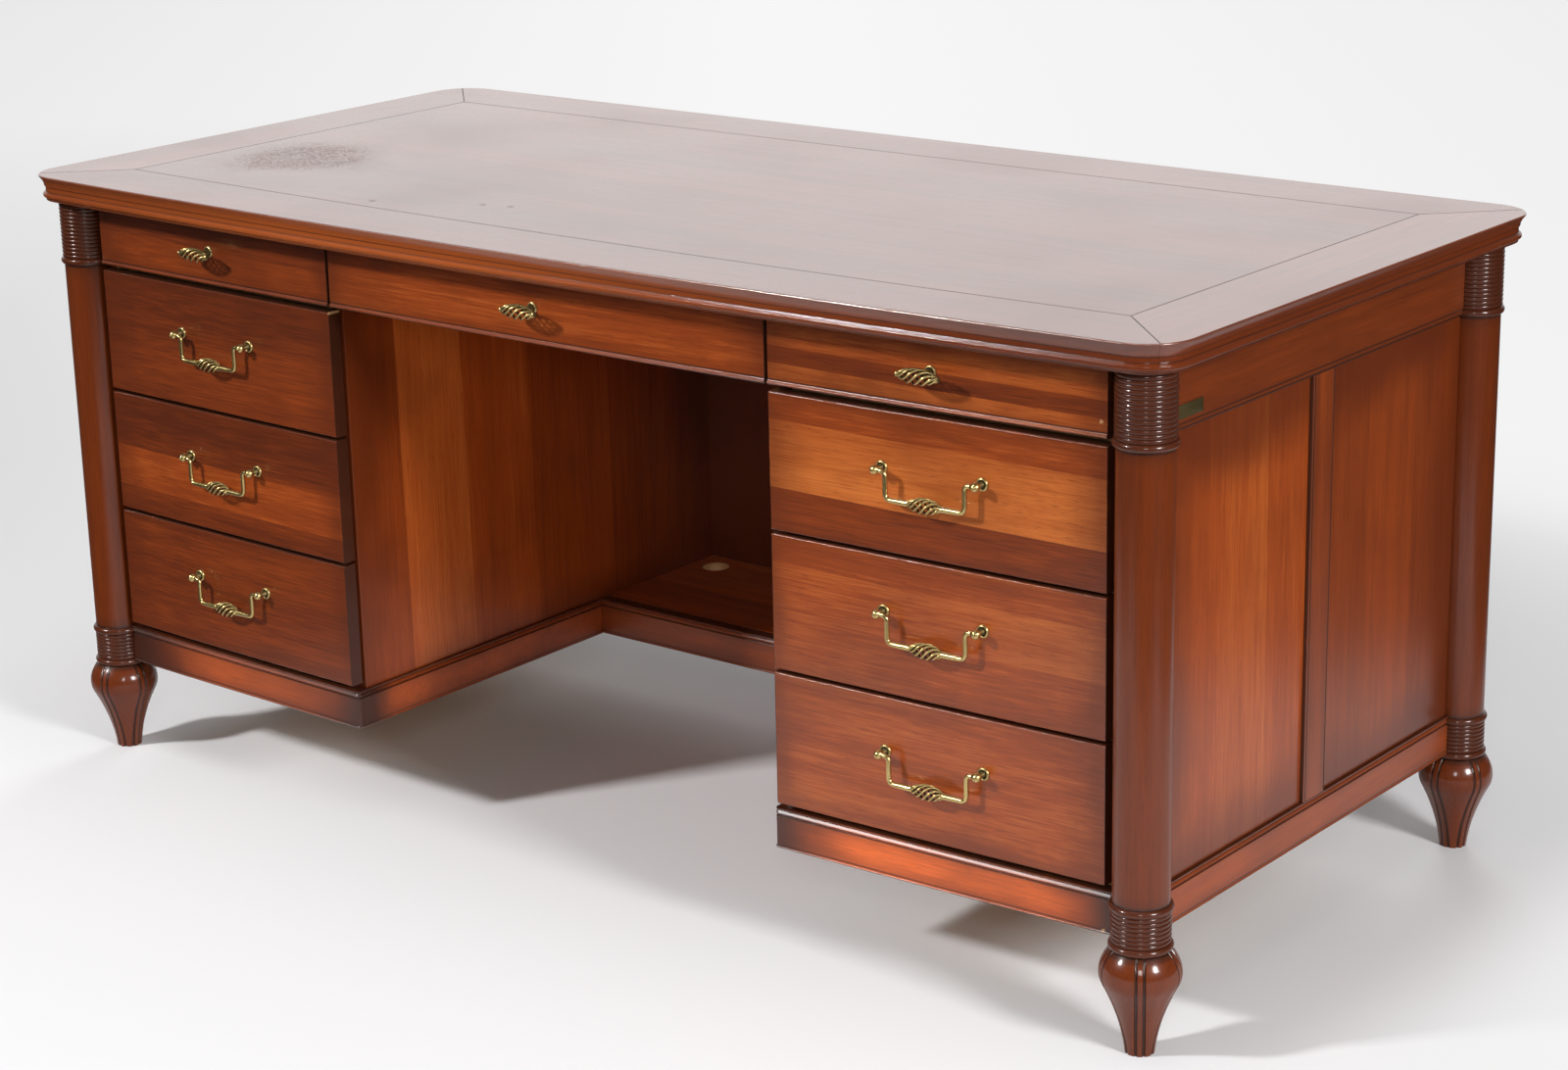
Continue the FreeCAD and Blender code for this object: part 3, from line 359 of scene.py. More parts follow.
class Wood:
    """A stained and lacquered wood material, built up in steps and closed by lacquer()."""

    def __init__(self, name, axes, tone=0.5, shade=1.0, contrast=0.8):
        self.name = name
        self.tree, self.shader = new_material(name)
        self.place = object_place(self.tree)
        self.vector = turned_axes(self.tree, axes)
        self.tone = tone
        self.shade = shade
        self.contrast = contrast
        self.base = None
        self.dull = 0.0

    def staves(self, width, contrast=0.5):
        self.tone = random_staves(self.tree, self.vector, width, contrast)
        return self

    def drawn_staves(self, low, high, staves):
        self.tone = chosen_staves(self.tree, self.vector, low, high, staves)
        return self

    def stain(self, smoke=0.5):
        """The grain in the finish's colours, with smoky clouds of its dark one."""
        finish = settings("desk_finish")
        self.grain = use_group(self.tree, "Wood grain", {
            "Vector": self.vector, "Tone": self.tone, "Contrast": self.contrast,
            "Light": colour([part * self.shade for part in finish.light]),
            "Middle": colour([part * self.shade for part in finish.middle]),
            "Dark": colour([part * self.shade for part in finish.dark])})
        self.base = self.grain["Color"]
        return self.over(span(self.tree, self.grain["Cloud"], 0.52, 0.75, 0.0, smoke), finish.dark)

    def over(self, mask, tint, strength=1.0):
        """Lays a colour over the wood where a mask is up."""
        share = calc(self.tree, "MULTIPLY", mask, strength)
        self.base = mixed(self.tree, share, self.base, tint)
        return self

    def edges(self, box, width, strength, speck, tint=None, only=1.0):
        """Darkens towards the faces of a box, where only is up."""
        near = use_group(self.tree, "Edge distance", {
            "Vector": self.place, "Low": box[0], "High": box[1], "Width": width, "Speck": speck})
        mask = calc(self.tree, "MULTIPLY", near["Mask"], only)
        return self.over(mask, tint or settings("desk_finish").near_black, strength)

    def lines(self, axis, levels, strength=0.9):
        """Near-black lines at levels of an axis, each (level, half width): painted shade in grooves and
        quirks.
        """
        value = parts_of(self.tree, self.place)[axis]
        for at, half in levels:
            self.over(level_line(self.tree, value, at, half), settings("desk_finish").near_black, strength)
        return self

    def chips(self, centres, radius=2.6 * MM):
        """Small bare chips, each at a point (across, up) of an upright face."""
        flat = scaled(self.tree, self.place, (1, 0, 1))
        for across, up in centres:
            self.over(spot(self.tree, flat, (across, 0, up), radius), settings("desk_finish").bare, 0.85)
        return self

    def lacquer(self, rough=0.215, coat=0.8, wrinkle=0.0, under=0.1):
        """Closes the material with a clear coat. Under is the wood's own shine.

        An even coat has one roughness all over. A wrinkled one is cloudy, and matt where the wood is dull."""
        tree = self.tree
        bump = add_node(tree, "ShaderNodeBump", {
            "Strength": 0.12, "Distance": 0.3 * MM, "Height": self.grain["Height"]}).outputs[0]
        if wrinkle:
            crinkle = noise(tree, scaled(tree, self.place, (0.7, 1.2, 1)), 120.0, 5.0, 0.62)
            patches = span(tree, noise(tree, self.place, 4.5, 2.0), 0.4, 0.62)
            bump = add_node(tree, "ShaderNodeBump", {
                "Strength": wrinkle, "Distance": 0.6 * MM, "Normal": bump,
                "Height": calc(tree, "MULTIPLY", crinkle, patches)}).outputs[0]
            feed(tree, self.shader, Coat_Normal=bump)
            cloudy = span(tree, noise(tree, self.vector, 5.0, 3.0), 0.3, 0.7, rough - 0.065, rough + 0.065)
            rough = calc(tree, "MAXIMUM", cloudy, self.dull)
            coat = calc(tree, "MULTIPLY", calc(tree, "SUBTRACT", 1.0, self.dull), coat)
        feed(tree, self.shader, Base_Color=self.base, Roughness=0.4, Specular_IOR_Level=under, Normal=bump,
             Coat_Weight=coat, Coat_Roughness=rough)
        return MATERIALS[self.name]


def post_wood():
    """Dark wood, near-black where the mesh's own attribute says: painted shade in the valleys, creases and
    grooves, and darker rings.
    """
    made = Wood("post wood", "ZXY", tone=0.45, shade=0.61, contrast=0.4).stain()
    held = add_node(made.tree, "ShaderNodeAttribute", attribute_name="hollow").outputs["Fac"]
    return made.over(held, settings("desk_finish").near_black, 0.95).lacquer(0.155, 0.65)


def inner_wood():
    """Plain unstained wood of drawer boxes and the boards under them."""
    finish = settings("desk_finish")
    tree, shader = new_material("inner wood")
    tints = {title: colour([part * share for part in finish.bare])
             for title, share in (("Light", 1.35), ("Middle", 1.0), ("Dark", 0.62))}
    grain = use_group(tree, "Wood grain", {"Vector": turned_axes(tree, "YXZ"), "Tone": 0.5, **tints})
    bump = add_node(tree, "ShaderNodeBump", {
        "Strength": 0.15, "Distance": 0.4 * MM, "Height": grain["Height"]})
    feed(tree, shader, Base_Color=grain["Color"], Roughness=0.55, Normal=bump.outputs[0])


def line_lacquer():
    """Near-black lacquer of the inlaid lines of the top, and of the dark strips of painted groove shade on
    the sides.
    """
    tree, shader = new_material("dark line")
    cloud = noise(tree, object_place(tree), 60.0, 3.0)
    tint = mixed(tree, cloud, (0.012, 0.009, 0.008), (0.035, 0.022, 0.017))
    feed(tree, shader, Base_Color=tint, Roughness=0.6, Specular_IOR_Level=0.2)


def brass():
    """Antique brass, brown with patina in its hollows, and darker on the cage strands' inner sides, which is
    painted shade.
    """
    finish = settings("desk_finish")
    tree, shader = new_material("antique brass")
    place = object_place(tree)
    cloud = noise(tree, place, 60.0, 2.0, 0.4)
    held = add_node(tree, "ShaderNodeAttribute", attribute_name="hollow").outputs["Fac"]
    stain = calc(tree, "MAXIMUM", span(tree, cloud, 0.5, 0.75, 0.0, 0.15), held)
    base = mixed(tree, stain, finish.brass, (0.05, 0.036, 0.016))
    rough = calc(tree, "MULTIPLY_ADD", held, 0.35, span(tree, cloud, 0.3, 0.7, 0.26, 0.34))
    feed(tree, shader, Base_Color=base, Metallic=1.0, Roughness=rough)


# ---------------------------------------------------------------- meshes and geometry trees

SHARP_TURN = math.radians(48)


def geometry_tree(name, inputs):
    """An empty geometry tree with named inputs after the geometry and the material."""
    given = {"Geometry": ("NodeSocketGeometry", None), "Material": ("NodeSocketMaterial", None)}
    for title, (kind, default) in inputs.items():
        given[title] = (f"NodeSocket{kind}", default)
    return new_group(name, given, {"Geometry": "NodeSocketGeometry"}, "GeometryNodeTree")


def close_tree(tree, given, out, *parts):
    """Ends a geometry tree: its parts joined, made real and given the material."""
    joined = tree.nodes.new("GeometryNodeJoinGeometry")
    for part in parts:
        tree.links.new(part, joined.inputs["Geometry"])
    real = add_node(tree, "GeometryNodeRealizeInstances", {"Geometry": joined.outputs[0]}).outputs[0]
    dressed = add_node(tree, "GeometryNodeSetMaterial", {"Geometry": real, "Material": given["Material"]})
    tree.links.new(dressed.outputs[0], out["Geometry"])


def run_tree(made, name, inputs):
    """Runs a geometry tree on a piece and keeps the result as its plain mesh."""
    tree = bpy.data.node_groups[name]
    modifier = made.modifiers.new(name, "NODES")
    modifier.node_group = tree
    for socket in tree.interface.items_tree:
        if socket.name in inputs:
            modifier[socket.identifier] = inputs[socket.name]
    ready = made.evaluated_get(bpy.context.evaluated_depsgraph_get())
    first = made.data
    result = bpy.data.meshes.new_from_object(ready)
    made.modifiers.clear()
    made.data = result
    bpy.data.meshes.remove(first)
    result.name = made.name


def length_and_turn(tree, along, across):
    """The length and the turn of a point in a plane, from its two coordinates."""
    squares = calc(tree, "MULTIPLY_ADD", along, along, calc(tree, "MULTIPLY", across, across))
    return calc(tree, "SQRT", squares), calc(tree, "ARCTAN2", across, along)


def wire_tree():
    """A round wire along a mesh's loose edges, as thick as their points say."""
    tree, given, out = geometry_tree("Round wire", {"Sides": ("Int", 16)})
    loose = {}
    for part in ("Edge", "Vertex"):
        faces = tree.nodes.new(f"GeometryNodeInputMesh{part}Neighbors").outputs["Face Count"]
        loose[part] = calc(tree, "LESS_THAN", faces, 0.5)
    path = add_node(tree, "GeometryNodeMeshToCurve", {"Mesh": given["Geometry"], "Selection": loose["Edge"]})
    section = add_node(tree, "GeometryNodeCurvePrimitiveCircle", {
        "Resolution": given["Sides"], "Radius": 1.0})
    thick = add_node(tree, "GeometryNodeInputNamedAttribute", {"Name": "thick"}, data_type="FLOAT")
    wire = add_node(tree, "GeometryNodeCurveToMesh", {
        "Curve": path.outputs[0], "Profile Curve": section.outputs[0], "Scale": thick.outputs[0],
        "Fill Caps": True})
    rest = add_node(tree, "GeometryNodeDeleteGeometry", {
        "Geometry": given["Geometry"], "Selection": loose["Vertex"]}, domain="POINT")
    close_tree(tree, given, out, rest.outputs[0], wire.outputs[0])


def cage_tree():
    """Strands that swell out and go round from end to end, along X, about a centre."""
    if "Twisted cage" in bpy.data.node_groups:
        return
    tree, given, out = geometry_tree("Twisted cage", {
        "Centre": ("Vector", (0, 0, 0)), "Length": ("Float", 0.04), "Radius": ("Float", 0.008),
        "End radius": ("Float", 0.002), "Strand": ("Float", 0.001), "Strands": ("Int", 6),
        "Twist": ("Float", math.pi), "Phase": ("Float", 0.0), "Steps": ("Int", 28)})

    def swell(share):
        wave = calc(tree, "SINE", calc(tree, "MULTIPLY", share, math.pi))
        wave = calc(tree, "POWER", calc(tree, "MAXIMUM", wave, 0.0), CAGE_SWELL)
        reach = calc(tree, "SUBTRACT", given["Radius"], given["End radius"])
        return calc(tree, "MULTIPLY_ADD", wave, reach, given["End radius"])

    line = add_node(tree, "GeometryNodeCurvePrimitiveLine", {"Start": (-0.5, 0, 0), "End": (0.5, 0, 0)})
    even = add_node(tree, "GeometryNodeResampleCurve", {
        "Curve": line.outputs[0], "Count": calc(tree, "ADD", given["Steps"], 1)})
    share = tree.nodes.new("GeometryNodeSplineParameter").outputs["Factor"]
    off = calc(tree, "SUBTRACT", share, 0.5)
    turn = calc(tree, "MULTIPLY", calc(tree, "MULTIPLY", off, -1.0), given["Twist"])
    radius = swell(share)
    place = vector_of(tree, calc(tree, "MULTIPLY", off, given["Length"]),
                      calc(tree, "MULTIPLY", radius, calc(tree, "COSINE", turn)),
                      calc(tree, "MULTIPLY", radius, calc(tree, "SINE", turn)))
    path = add_node(tree, "GeometryNodeSetPosition", {"Geometry": even.outputs[0], "Position": place})
    section = add_node(tree, "GeometryNodeCurvePrimitiveCircle", {
        "Resolution": STRAND_SIDES, "Radius": given["Strand"]})
    strand = add_node(tree, "GeometryNodeCurveToMesh", {
        "Curve": path.outputs[0], "Profile Curve": section.outputs[0], "Fill Caps": True})

    # Painted shade: a strand is darkened on the side that faces the cage's axis, where the cage's inside lies
    # in shade.
    here = parts_of(tree, tree.nodes.new("GeometryNodeInputPosition").outputs[0])
    along = span(tree, calc(tree, "DIVIDE", here["X"], given["Length"]), -0.5, 0.5)
    away = length_and_turn(tree, here["Y"], here["Z"])[0]
    inward = calc(tree, "DIVIDE", calc(tree, "SUBTRACT", swell(along), away), given["Strand"])
    shaded_inside = add_node(tree, "GeometryNodeStoreNamedAttribute", {
        "Geometry": strand.outputs[0], "Name": "hollow", "Value": span(tree, inward, -0.5, 0.5)},
        data_type="FLOAT", domain="POINT")

    points = add_node(tree, "GeometryNodePoints", {"Count": given["Strands"], "Position": given["Centre"]})
    number = calc(tree, "ADD", tree.nodes.new("GeometryNodeInputIndex").outputs[0], given["Phase"])
    round_by = calc(tree, "DIVIDE", calc(tree, "MULTIPLY", number, 2 * math.pi), given["Strands"])
    turned = add_node(tree, "FunctionNodeEulerToRotation", {"Euler": vector_of(tree, round_by)})
    cage = add_node(tree, "GeometryNodeInstanceOnPoints", {
        "Points": points.outputs[0], "Instance": shaded_inside.outputs[0], "Rotation": turned.outputs[0]})
    close_tree(tree, given, out, given["Geometry"], cage.outputs[0])


def rings_tree():
    """Fine rings swelled out of a turned post, and pairs of grooves pressed into its foot, with painted shade
    stored in the grooves.
    """
    tree, given, out = geometry_tree("Rings and flutes", {
        "Ring depth": ("Float", 0.0015), "Foot rings": ("Int", 7), "Capital rings": ("Int", 15),
        "Foot low": ("Float", 0.125), "Foot high": ("Float", 0.16), "Capital low": ("Float", 0.656),
        "Capital high": ("Float", 0.74), "Flute pairs": ("Int", 5), "Flute depth": ("Float", 0.0019),
        "Flute offset": ("Float", 0.004), "Flute half": ("Float", 0.0016), "Flutes end": ("Float", 0.116)})
    here = parts_of(tree, tree.nodes.new("GeometryNodeInputPosition").outputs[0])
    radius, turn = length_and_turn(tree, here["X"], here["Y"])
    reach = radius
    for where in ("Foot", "Capital"):
        place = span(tree, here["Z"], given[f"{where} low"], given[f"{where} high"])
        share = calc(tree, "FRACT", calc(tree, "MULTIPLY", place, given[f"{where} rings"]))
        arch = calc(tree, "SQRT", calc(tree, "MULTIPLY", share, calc(tree, "SUBTRACT", 1.0, share)))
        reach = calc(tree, "MULTIPLY_ADD", arch, calc(tree, "MULTIPLY", given["Ring depth"], 2.0), reach)

    half_sector = calc(tree, "DIVIDE", math.pi, given["Flute pairs"])
    from_pair = calc(tree, "WRAP", turn, half_sector, calc(tree, "MULTIPLY", half_sector, -1.0))
    beside = calc(tree, "ABSOLUTE", calc(tree, "MULTIPLY", radius, calc(tree, "SINE", from_pair)))
    off = calc(tree, "DIVIDE", calc(tree, "SUBTRACT", beside, given["Flute offset"]), given["Flute half"])
    deep = calc(tree, "SUBTRACT", 1.0, calc(tree, "MULTIPLY", off, off))
    deep = calc(tree, "SQRT", calc(tree, "MAXIMUM", deep, 0.0))
    deep = calc(tree, "MULTIPLY", deep, calc(tree, "LESS_THAN", here["Z"], given["Flutes end"]))
    reach = calc(tree, "SUBTRACT", reach, calc(tree, "MULTIPLY", deep, given["Flute depth"]))

    grown = calc(tree, "DIVIDE", reach, radius)
    place = vector_of(tree, calc(tree, "MULTIPLY", here["X"], grown),
                      calc(tree, "MULTIPLY", here["Y"], grown), here["Z"])
    held = add_node(tree, "GeometryNodeInputNamedAttribute", {"Name": "hollow"}, data_type="FLOAT").outputs[0]
    darker = add_node(tree, "GeometryNodeStoreNamedAttribute", {
        "Geometry": given["Geometry"], "Name": "hollow", "Value": calc(tree, "MAXIMUM", held, deep)},
        data_type="FLOAT", domain="POINT")
    moved = add_node(tree, "GeometryNodeSetPosition", {"Geometry": darker.outputs[0], "Position": place})
    close_tree(tree, given, out, moved.outputs[0])


class Shape:
    """Points, edges and faces gathered for one mesh. Each point has a "hollow" value, from 0 to 1 for dark:
    patina on the brass, and painted shade in the creases of the posts. It also has a "thick" value, the half
    thickness of a wire along the loose edges."""

    def __init__(self):
        self.points = []
        self.edges = []
        self.faces = []
        self.hollow = []
        self.thick = []

    def rings(self, rings, dark):
        """A skin over rings of points, each from the last, with its ends closed."""
        start = len(self.points)
        count = len(rings[0])
        for ring, held in zip(rings, dark):
            self.points += ring
            self.hollow += held if isinstance(held, list) else [held] * count
            self.thick += [0.0] * count
        for row in range(len(rings) - 1):
            low = start + row * count
            high = low + count
            for index in range(count):
                following = (index + 1) % count
                self.faces.append((low + index, low + following, high + following, high + index))
        last = start + (len(rings) - 1) * count
        self.faces.append(tuple(range(start, start + count))[::-1])
        self.faces.append(tuple(range(last, last + count)))

    def wire(self, path, radii):
        """Loose edges along a path, which the round wire tree gives their thickness."""
        start = len(self.points)
        self.points += path
        self.hollow += [0.0] * len(path)
        self.thick += radii
        self.edges += [(start + index, start + index + 1) for index in range(len(path) - 1)]

    def lathe(self, profile, centre, along, sides, dark):
        """A turned shape: profile lists (distance, radius) along an axis from a centre."""
        up = along.orthogonal().normalized()
        side = along.cross(up)
        turns = [2 * math.pi * step / sides for step in range(sides)]
        rings = [[centre + along * distance + (up * math.cos(turn) + side * math.sin(turn)) * radius
                  for turn in turns] for distance, radius in profile]
        self.rings(rings, dark)

    def piece(self, name, matrix, material, body, slot, *replaced, trees=()):
        """A visible piece from the mesh, worked on by geometry trees (name, inputs) and then set in place."""
        mesh = bpy.data.meshes.new(name)
        mesh.from_pydata([tuple(point) for point in self.points], self.edges, self.faces)
        mesh.update()
        for title, values in (("hollow", self.hollow), ("thick", self.thick)):
            mesh.attributes.new(title, "FLOAT", "POINT").data.foreach_set("value", values)
        mesh.materials.append(material)
        made = bpy.data.objects.new(name, mesh)
        bpy.context.collection.objects.link(made)
        for title, inputs in trees:
            run_tree(made, title, {"Material": material, **inputs})
        made.data.transform(matrix)
        made.data.polygons.foreach_set("use_smooth", [True] * len(made.data.polygons))
        made.data.set_sharp_from_angle(angle=SHARP_TURN)
        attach(made, body)
        if replaced:
            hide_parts(*replaced)


def arc_points(start, end, bulge, steps):
    """Points (across, up) from start to before end along a bow that stands off by bulge."""
    points = []
    for step in range(steps):
        share = step / steps
        points.append((start[0] + share * (end[0] - start[0]) + 4 * share * (1 - share) * bulge,
                       start[1] + share * (end[1] - start[1])))
    return points


# ---------------------------------------------------------------- posts

POST_TURNS = {"front_left": -78, "front_right": -58, "back_left": -42, "back_right": -98}
SHAFT_R = 30 * MM
RINGED_R = 31.6 * MM
BEAD_TALL = 8.5 * MM
FOOT_RINGS = (125 * MM, 159.5 * MM)
CAPITAL_LOW = 656 * MM
FOOT_R = 15.7 * MM
BULB_JOIN = (39.5 * MM, 76.2 * MM)
BULB_WIDE = (43.2 * MM, 90 * MM)
BULB_HIGH_R = 32.1 * MM
# How far the foot's three curves stand off their chords: below the bulb, to its widest and above.
FOOT_CURVE = -4.0 * MM
BULB_LOW_CURVE = 0.95 * MM
BULB_HIGH_CURVE = 2.9 * MM
FLUTE_OFFSET = 4.25 * MM
FLUTE_HALF = 1.6 * MM
FLUTES_END = FOOT_RINGS[0] - BEAD_TALL
# Just past the last row of points that the flutes reach.
PAST_FLUTES = FLUTES_END + 0.01 * MM
RING_STEPS = 8
# Darkness of a post's rows. It is 1 in the valleys between rings and at the ends of beads, painted shade in
# these creases, and half as much on the bulb's top under its bead, also painted shade. The rings and beads
# are darker all over.
RING_DARK = 0.55
BEAD_STEPS = 12
BEAD_DARK = 0.5
BULB_DARK = 0.5
BULB_DARK_ABOVE = 111 * MM
BEAD_OUT = 3.7 * MM
FOOT_BEAD_OUT = 3.9 * MM
BEAD_INNER_R = SHAFT_R + 0.3 * MM
# How dark the shaft is at distances from its two ends: painted shade where it meets the beads.
SHAFT_END_DARKNESS = ((0.0, 1.0), (4 * MM, 0.25), (16 * MM, 0.0))
# Millimetres to either side of a pair's middle where the post has a column of points.
FLUTE_COLUMNS = (0.0, 1.2, 2.4, 2.9, 3.5, 4.25, 5.0, 5.6, 6.1, 8.0)
PLAIN_COLUMNS = 8


def post_profile(top):
    """Rows (radius, height, darkness) of a post from the floor up, with its rings still flat."""
    given = settings("desk_posts")
    bulb_high = (BULB_HIGH_R, FLUTES_END)
    valley = RINGED_R - given.ring_depth
    rows = []

    def bow(start, end, bulge, steps, dark_above=math.inf):
        for radius, height in arc_points(start, end, bulge, steps):
            rows.append((radius, height, BULB_DARK if height > dark_above else 0.0))

    def half_round(low, high, inner_low, inner_high, out, steps, dark):
        """Rows of a bead, closer together near its dark ends. With no out, a place for a ring."""
        for step in range(steps):
            turn = math.pi * step / steps
            share = (1 - math.cos(turn)) / 2
            radius = inner_low + share * (inner_high - inner_low) + out * math.sin(turn)
            rows.append((radius, low + share * (high - low), dark if step else 1.0))

    def ringed(low, high, count):
        pitch = (high - low) / count
        for number in range(count):
            foot = low + number * pitch
            half_round(foot, foot + pitch, valley, valley, 0.0, RING_STEPS, RING_DARK)

    bow((FOOT_R, 0.0), BULB_JOIN, FOOT_CURVE, 16)
    bow(BULB_JOIN, BULB_WIDE, BULB_LOW_CURVE, 8)
    bow(BULB_WIDE, bulb_high, BULB_HIGH_CURVE, 14, BULB_DARK_ABOVE)
    rows.append((*bulb_high, 1.0))
    half_round(bulb_high[1], FOOT_RINGS[0], SHAFT_R, BEAD_INNER_R, FOOT_BEAD_OUT, BEAD_STEPS, BEAD_DARK)
    ringed(*FOOT_RINGS, given.foot_rings)
    shaft_low = FOOT_RINGS[1] + BEAD_TALL
    shaft_high = CAPITAL_LOW - BEAD_TALL
    half_round(FOOT_RINGS[1], shaft_low, BEAD_INNER_R, SHAFT_R, BEAD_OUT, BEAD_STEPS, BEAD_DARK)
    for off, dark in SHAFT_END_DARKNESS:
        rows.append((SHAFT_R, shaft_low + off, dark))
    for off, dark in SHAFT_END_DARKNESS[::-1]:
        rows.append((SHAFT_R, shaft_high - off, dark))
    half_round(shaft_high, CAPITAL_LOW, SHAFT_R, BEAD_INNER_R, BEAD_OUT, BEAD_STEPS, BEAD_DARK)
    ringed(CAPITAL_LOW, top, given.capital_rings)
    rows.append((valley, top, 1.0))
    return rows


def post_shape(top):
    """A plain turned post about Z, with columns of points where pairs of flutes will run."""
    pairs = settings("desk_posts").flute_pairs
    shape = Shape()
    offsets = [-offset for offset in FLUTE_COLUMNS[:0:-1]] + list(FLUTE_COLUMNS)
    sector = 2 * math.pi / pairs
    rings = []
    dark = []
    for radius, height, held in post_profile(top):
        spread = radius if height <= PAST_FLUTES else BULB_HIGH_R
        angles = [math.asin(offset * MM / spread) for offset in offsets]
        gap = sector - 2 * angles[-1]
        angles += [angles[-1] + gap * step / (PLAIN_COLUMNS + 1) for step in range(1, PLAIN_COLUMNS + 1)]
        turns = [pair * sector + angle for pair in range(pairs) for angle in angles]
        rings.append([Vector((radius * math.cos(turn), radius * math.sin(turn), height)) for turn in turns])
        dark.append(held)
    shape.rings(rings, dark)
    return shape


class DESK_OT_posts(bpy.types.Operator):
    """Builds the four turned posts with their fine rings and fluted feet"""
    bl_idname = "desk.posts"
    bl_label = "Posts"

    def execute(self, context):
        given = settings("desk_posts")
        rings_tree()
        for where in CORNERS:
            node = f"post_{where}"
            low, high = box_corners(node)
            top = high.z - low.z
            centre = (low + high) / 2
            turn = Matrix.Rotation(math.radians(POST_TURNS[where]), 4, "Z")
            matrix = Matrix.Translation((centre.x, centre.y, low.z)) @ turn
            fine = {"Ring depth": given.ring_depth,
                    "Foot rings": given.foot_rings, "Foot low": FOOT_RINGS[0], "Foot high": FOOT_RINGS[1],
                    "Capital rings": given.capital_rings, "Capital low": CAPITAL_LOW, "Capital high": top,
                    "Flute pairs": given.flute_pairs, "Flute depth": given.flute_depth,
                    "Flute offset": FLUTE_OFFSET, "Flute half": FLUTE_HALF, "Flutes end": PAST_FLUTES}
            shape = post_shape(top)
            shape.piece(f"turned_post_{where}", matrix, MATERIALS["post wood"], "desk", "wood", node,
                        trees=[("Rings and flutes", fine)])
        return {"FINISHED"}


# ---------------------------------------------------------------- brass fittings

PULL_APART = 124 * MM
PULL_OUT = 13 * MM
BALL_R = 5.2 * MM
# How far round from the stem the ball starts, and how far before its tip it ends.
BALL_START = math.radians(28)
BALL_END = math.radians(20)
ROSETTE_R = 7.2 * MM
STEM_R = 2.8 * MM
ARM_IN = 13 * MM
BAIL_DROP = 30 * MM
BAIL_BEND = 6 * MM
CAGE_LONG = 40 * MM
KNOB_LONG = 48 * MM
CAGE_R = 7.9 * MM
CAGE_END_R = 1.6 * MM
CAGE_SWELL = 0.8
CAGE_STEPS = 28
STRAND_SIDES = 10
WIRE_SIDES = 16
PIN_R = 1.6 * MM
PIN_IN = 3.6 * MM
PIN_PLAY = 0.4 * MM
KNOB_OUT = 24 * MM
# Half thickness of the wire as shares of the bail's own: at its pin, at its bend and at its last three
# points before the cage.
WIRE_AT_PIN = 0.9
WIRE_AT_BEND = 0.96
WIRE_ENDS = (1.05, 1.15, 1.2)
# A collar at a cage's end: (place along it, as a share of its reach, radius, darkness).
COLLAR_REACH = 2.2 * MM
COLLAR = ((-1.0, 2.2 * MM, 0.8), (-0.6, 3.2 * MM, 0.1), (0.6, 3.2 * MM, 0.1), (1.0, 2.6 * MM, 0.8))


def add_collars(shape, centre, length):
    """A small collar at each end of a cage along X."""
    profile = [(share * COLLAR_REACH, radius) for share, radius, held in COLLAR]
    for end in (-1, 1):
        start = centre + Vector((end * length / 2, 0, 0))
        shape.lathe(profile, start, Vector((1, 0, 0)), 24, [held for share, radius, held in COLLAR])


def cage_inputs(centre, length, phase):
    """The twisted cage tree, with its inputs for one cage."""
    given = settings("desk_pulls")
    return "Twisted cage", {
        "Centre": tuple(centre), "Length": length, "Radius": CAGE_R, "End radius": CAGE_END_R,
        "Strand": given.strand, "Strands": given.strands, "Twist": given.twist, "Phase": phase,
        "Steps": CAGE_STEPS}


def bend(corner, before, after, radius, steps=6):
    """Points round a corner of a wire."""
    into = (before - corner).normalized() * radius
    away = (after - corner).normalized() * radius
    points = []
    for step in range(steps + 1):
        share = step / steps
        points.append(corner + into * (1 - share) ** 2 + away * share ** 2)
    return points


def bail_shape():
    """The bail without its cage, about its pivot: X along the pivot, Y away from the sitter, Z up."""
    thick = settings("desk_pulls").wire
    shape = Shape()
    for side in (-1, 1):
        shoulder = Vector((side * (PULL_APART / 2 - BALL_R - PIN_PLAY), 0, 0))
        high = Vector((side * (PULL_APART / 2 - ARM_IN), 0, 0))
        low = Vector((side * (PULL_APART / 2 - ARM_IN), 0, -BAIL_DROP))
        inner = Vector((side * CAGE_LONG / 2, 0, -BAIL_DROP))
        path = [shoulder] + bend(high, shoulder, low, BAIL_BEND) + bend(low, high, inner, BAIL_BEND * 1.2)
        path += [low.lerp(inner, share) for share in (0.5, 0.75)] + [inner]
        count = len(path)
        grown = (WIRE_AT_BEND - WIRE_AT_PIN) / count
        radii = [thick * (WIRE_AT_PIN + grown * index) for index in range(count)]
        radii[-len(WIRE_ENDS):] = [thick * share for share in WIRE_ENDS]
        shape.wire(path, radii)
        shape.lathe([(0, PIN_R), (PIN_PLAY + PIN_IN, PIN_R)], shoulder, Vector((side, 0, 0)), 20, [0.8, 0.8])
    add_collars(shape, Vector((0, 0, -BAIL_DROP)), CAGE_LONG)
    return shape


def add_rosette(shape, foot, reach):
    """A dished rosette on the drawer's face and a stem out of it, along -Y."""
    profile = [(0, ROSETTE_R), (1.0 * MM, ROSETTE_R), (1.9 * MM, ROSETTE_R - 0.8 * MM),
               (2.1 * MM, ROSETTE_R - 1.6 * MM), (1.5 * MM, ROSETTE_R - 2.4 * MM),
               (1.5 * MM, STEM_R + 0.6 * MM), (2.4 * MM, STEM_R), (reach, STEM_R * 0.9)]
    shape.lathe(profile, foot, Vector((0, -1, 0)), 40, [0.2, 0.1, 0.1, 0.4, 0.95, 0.95, 0.7, 0.5])


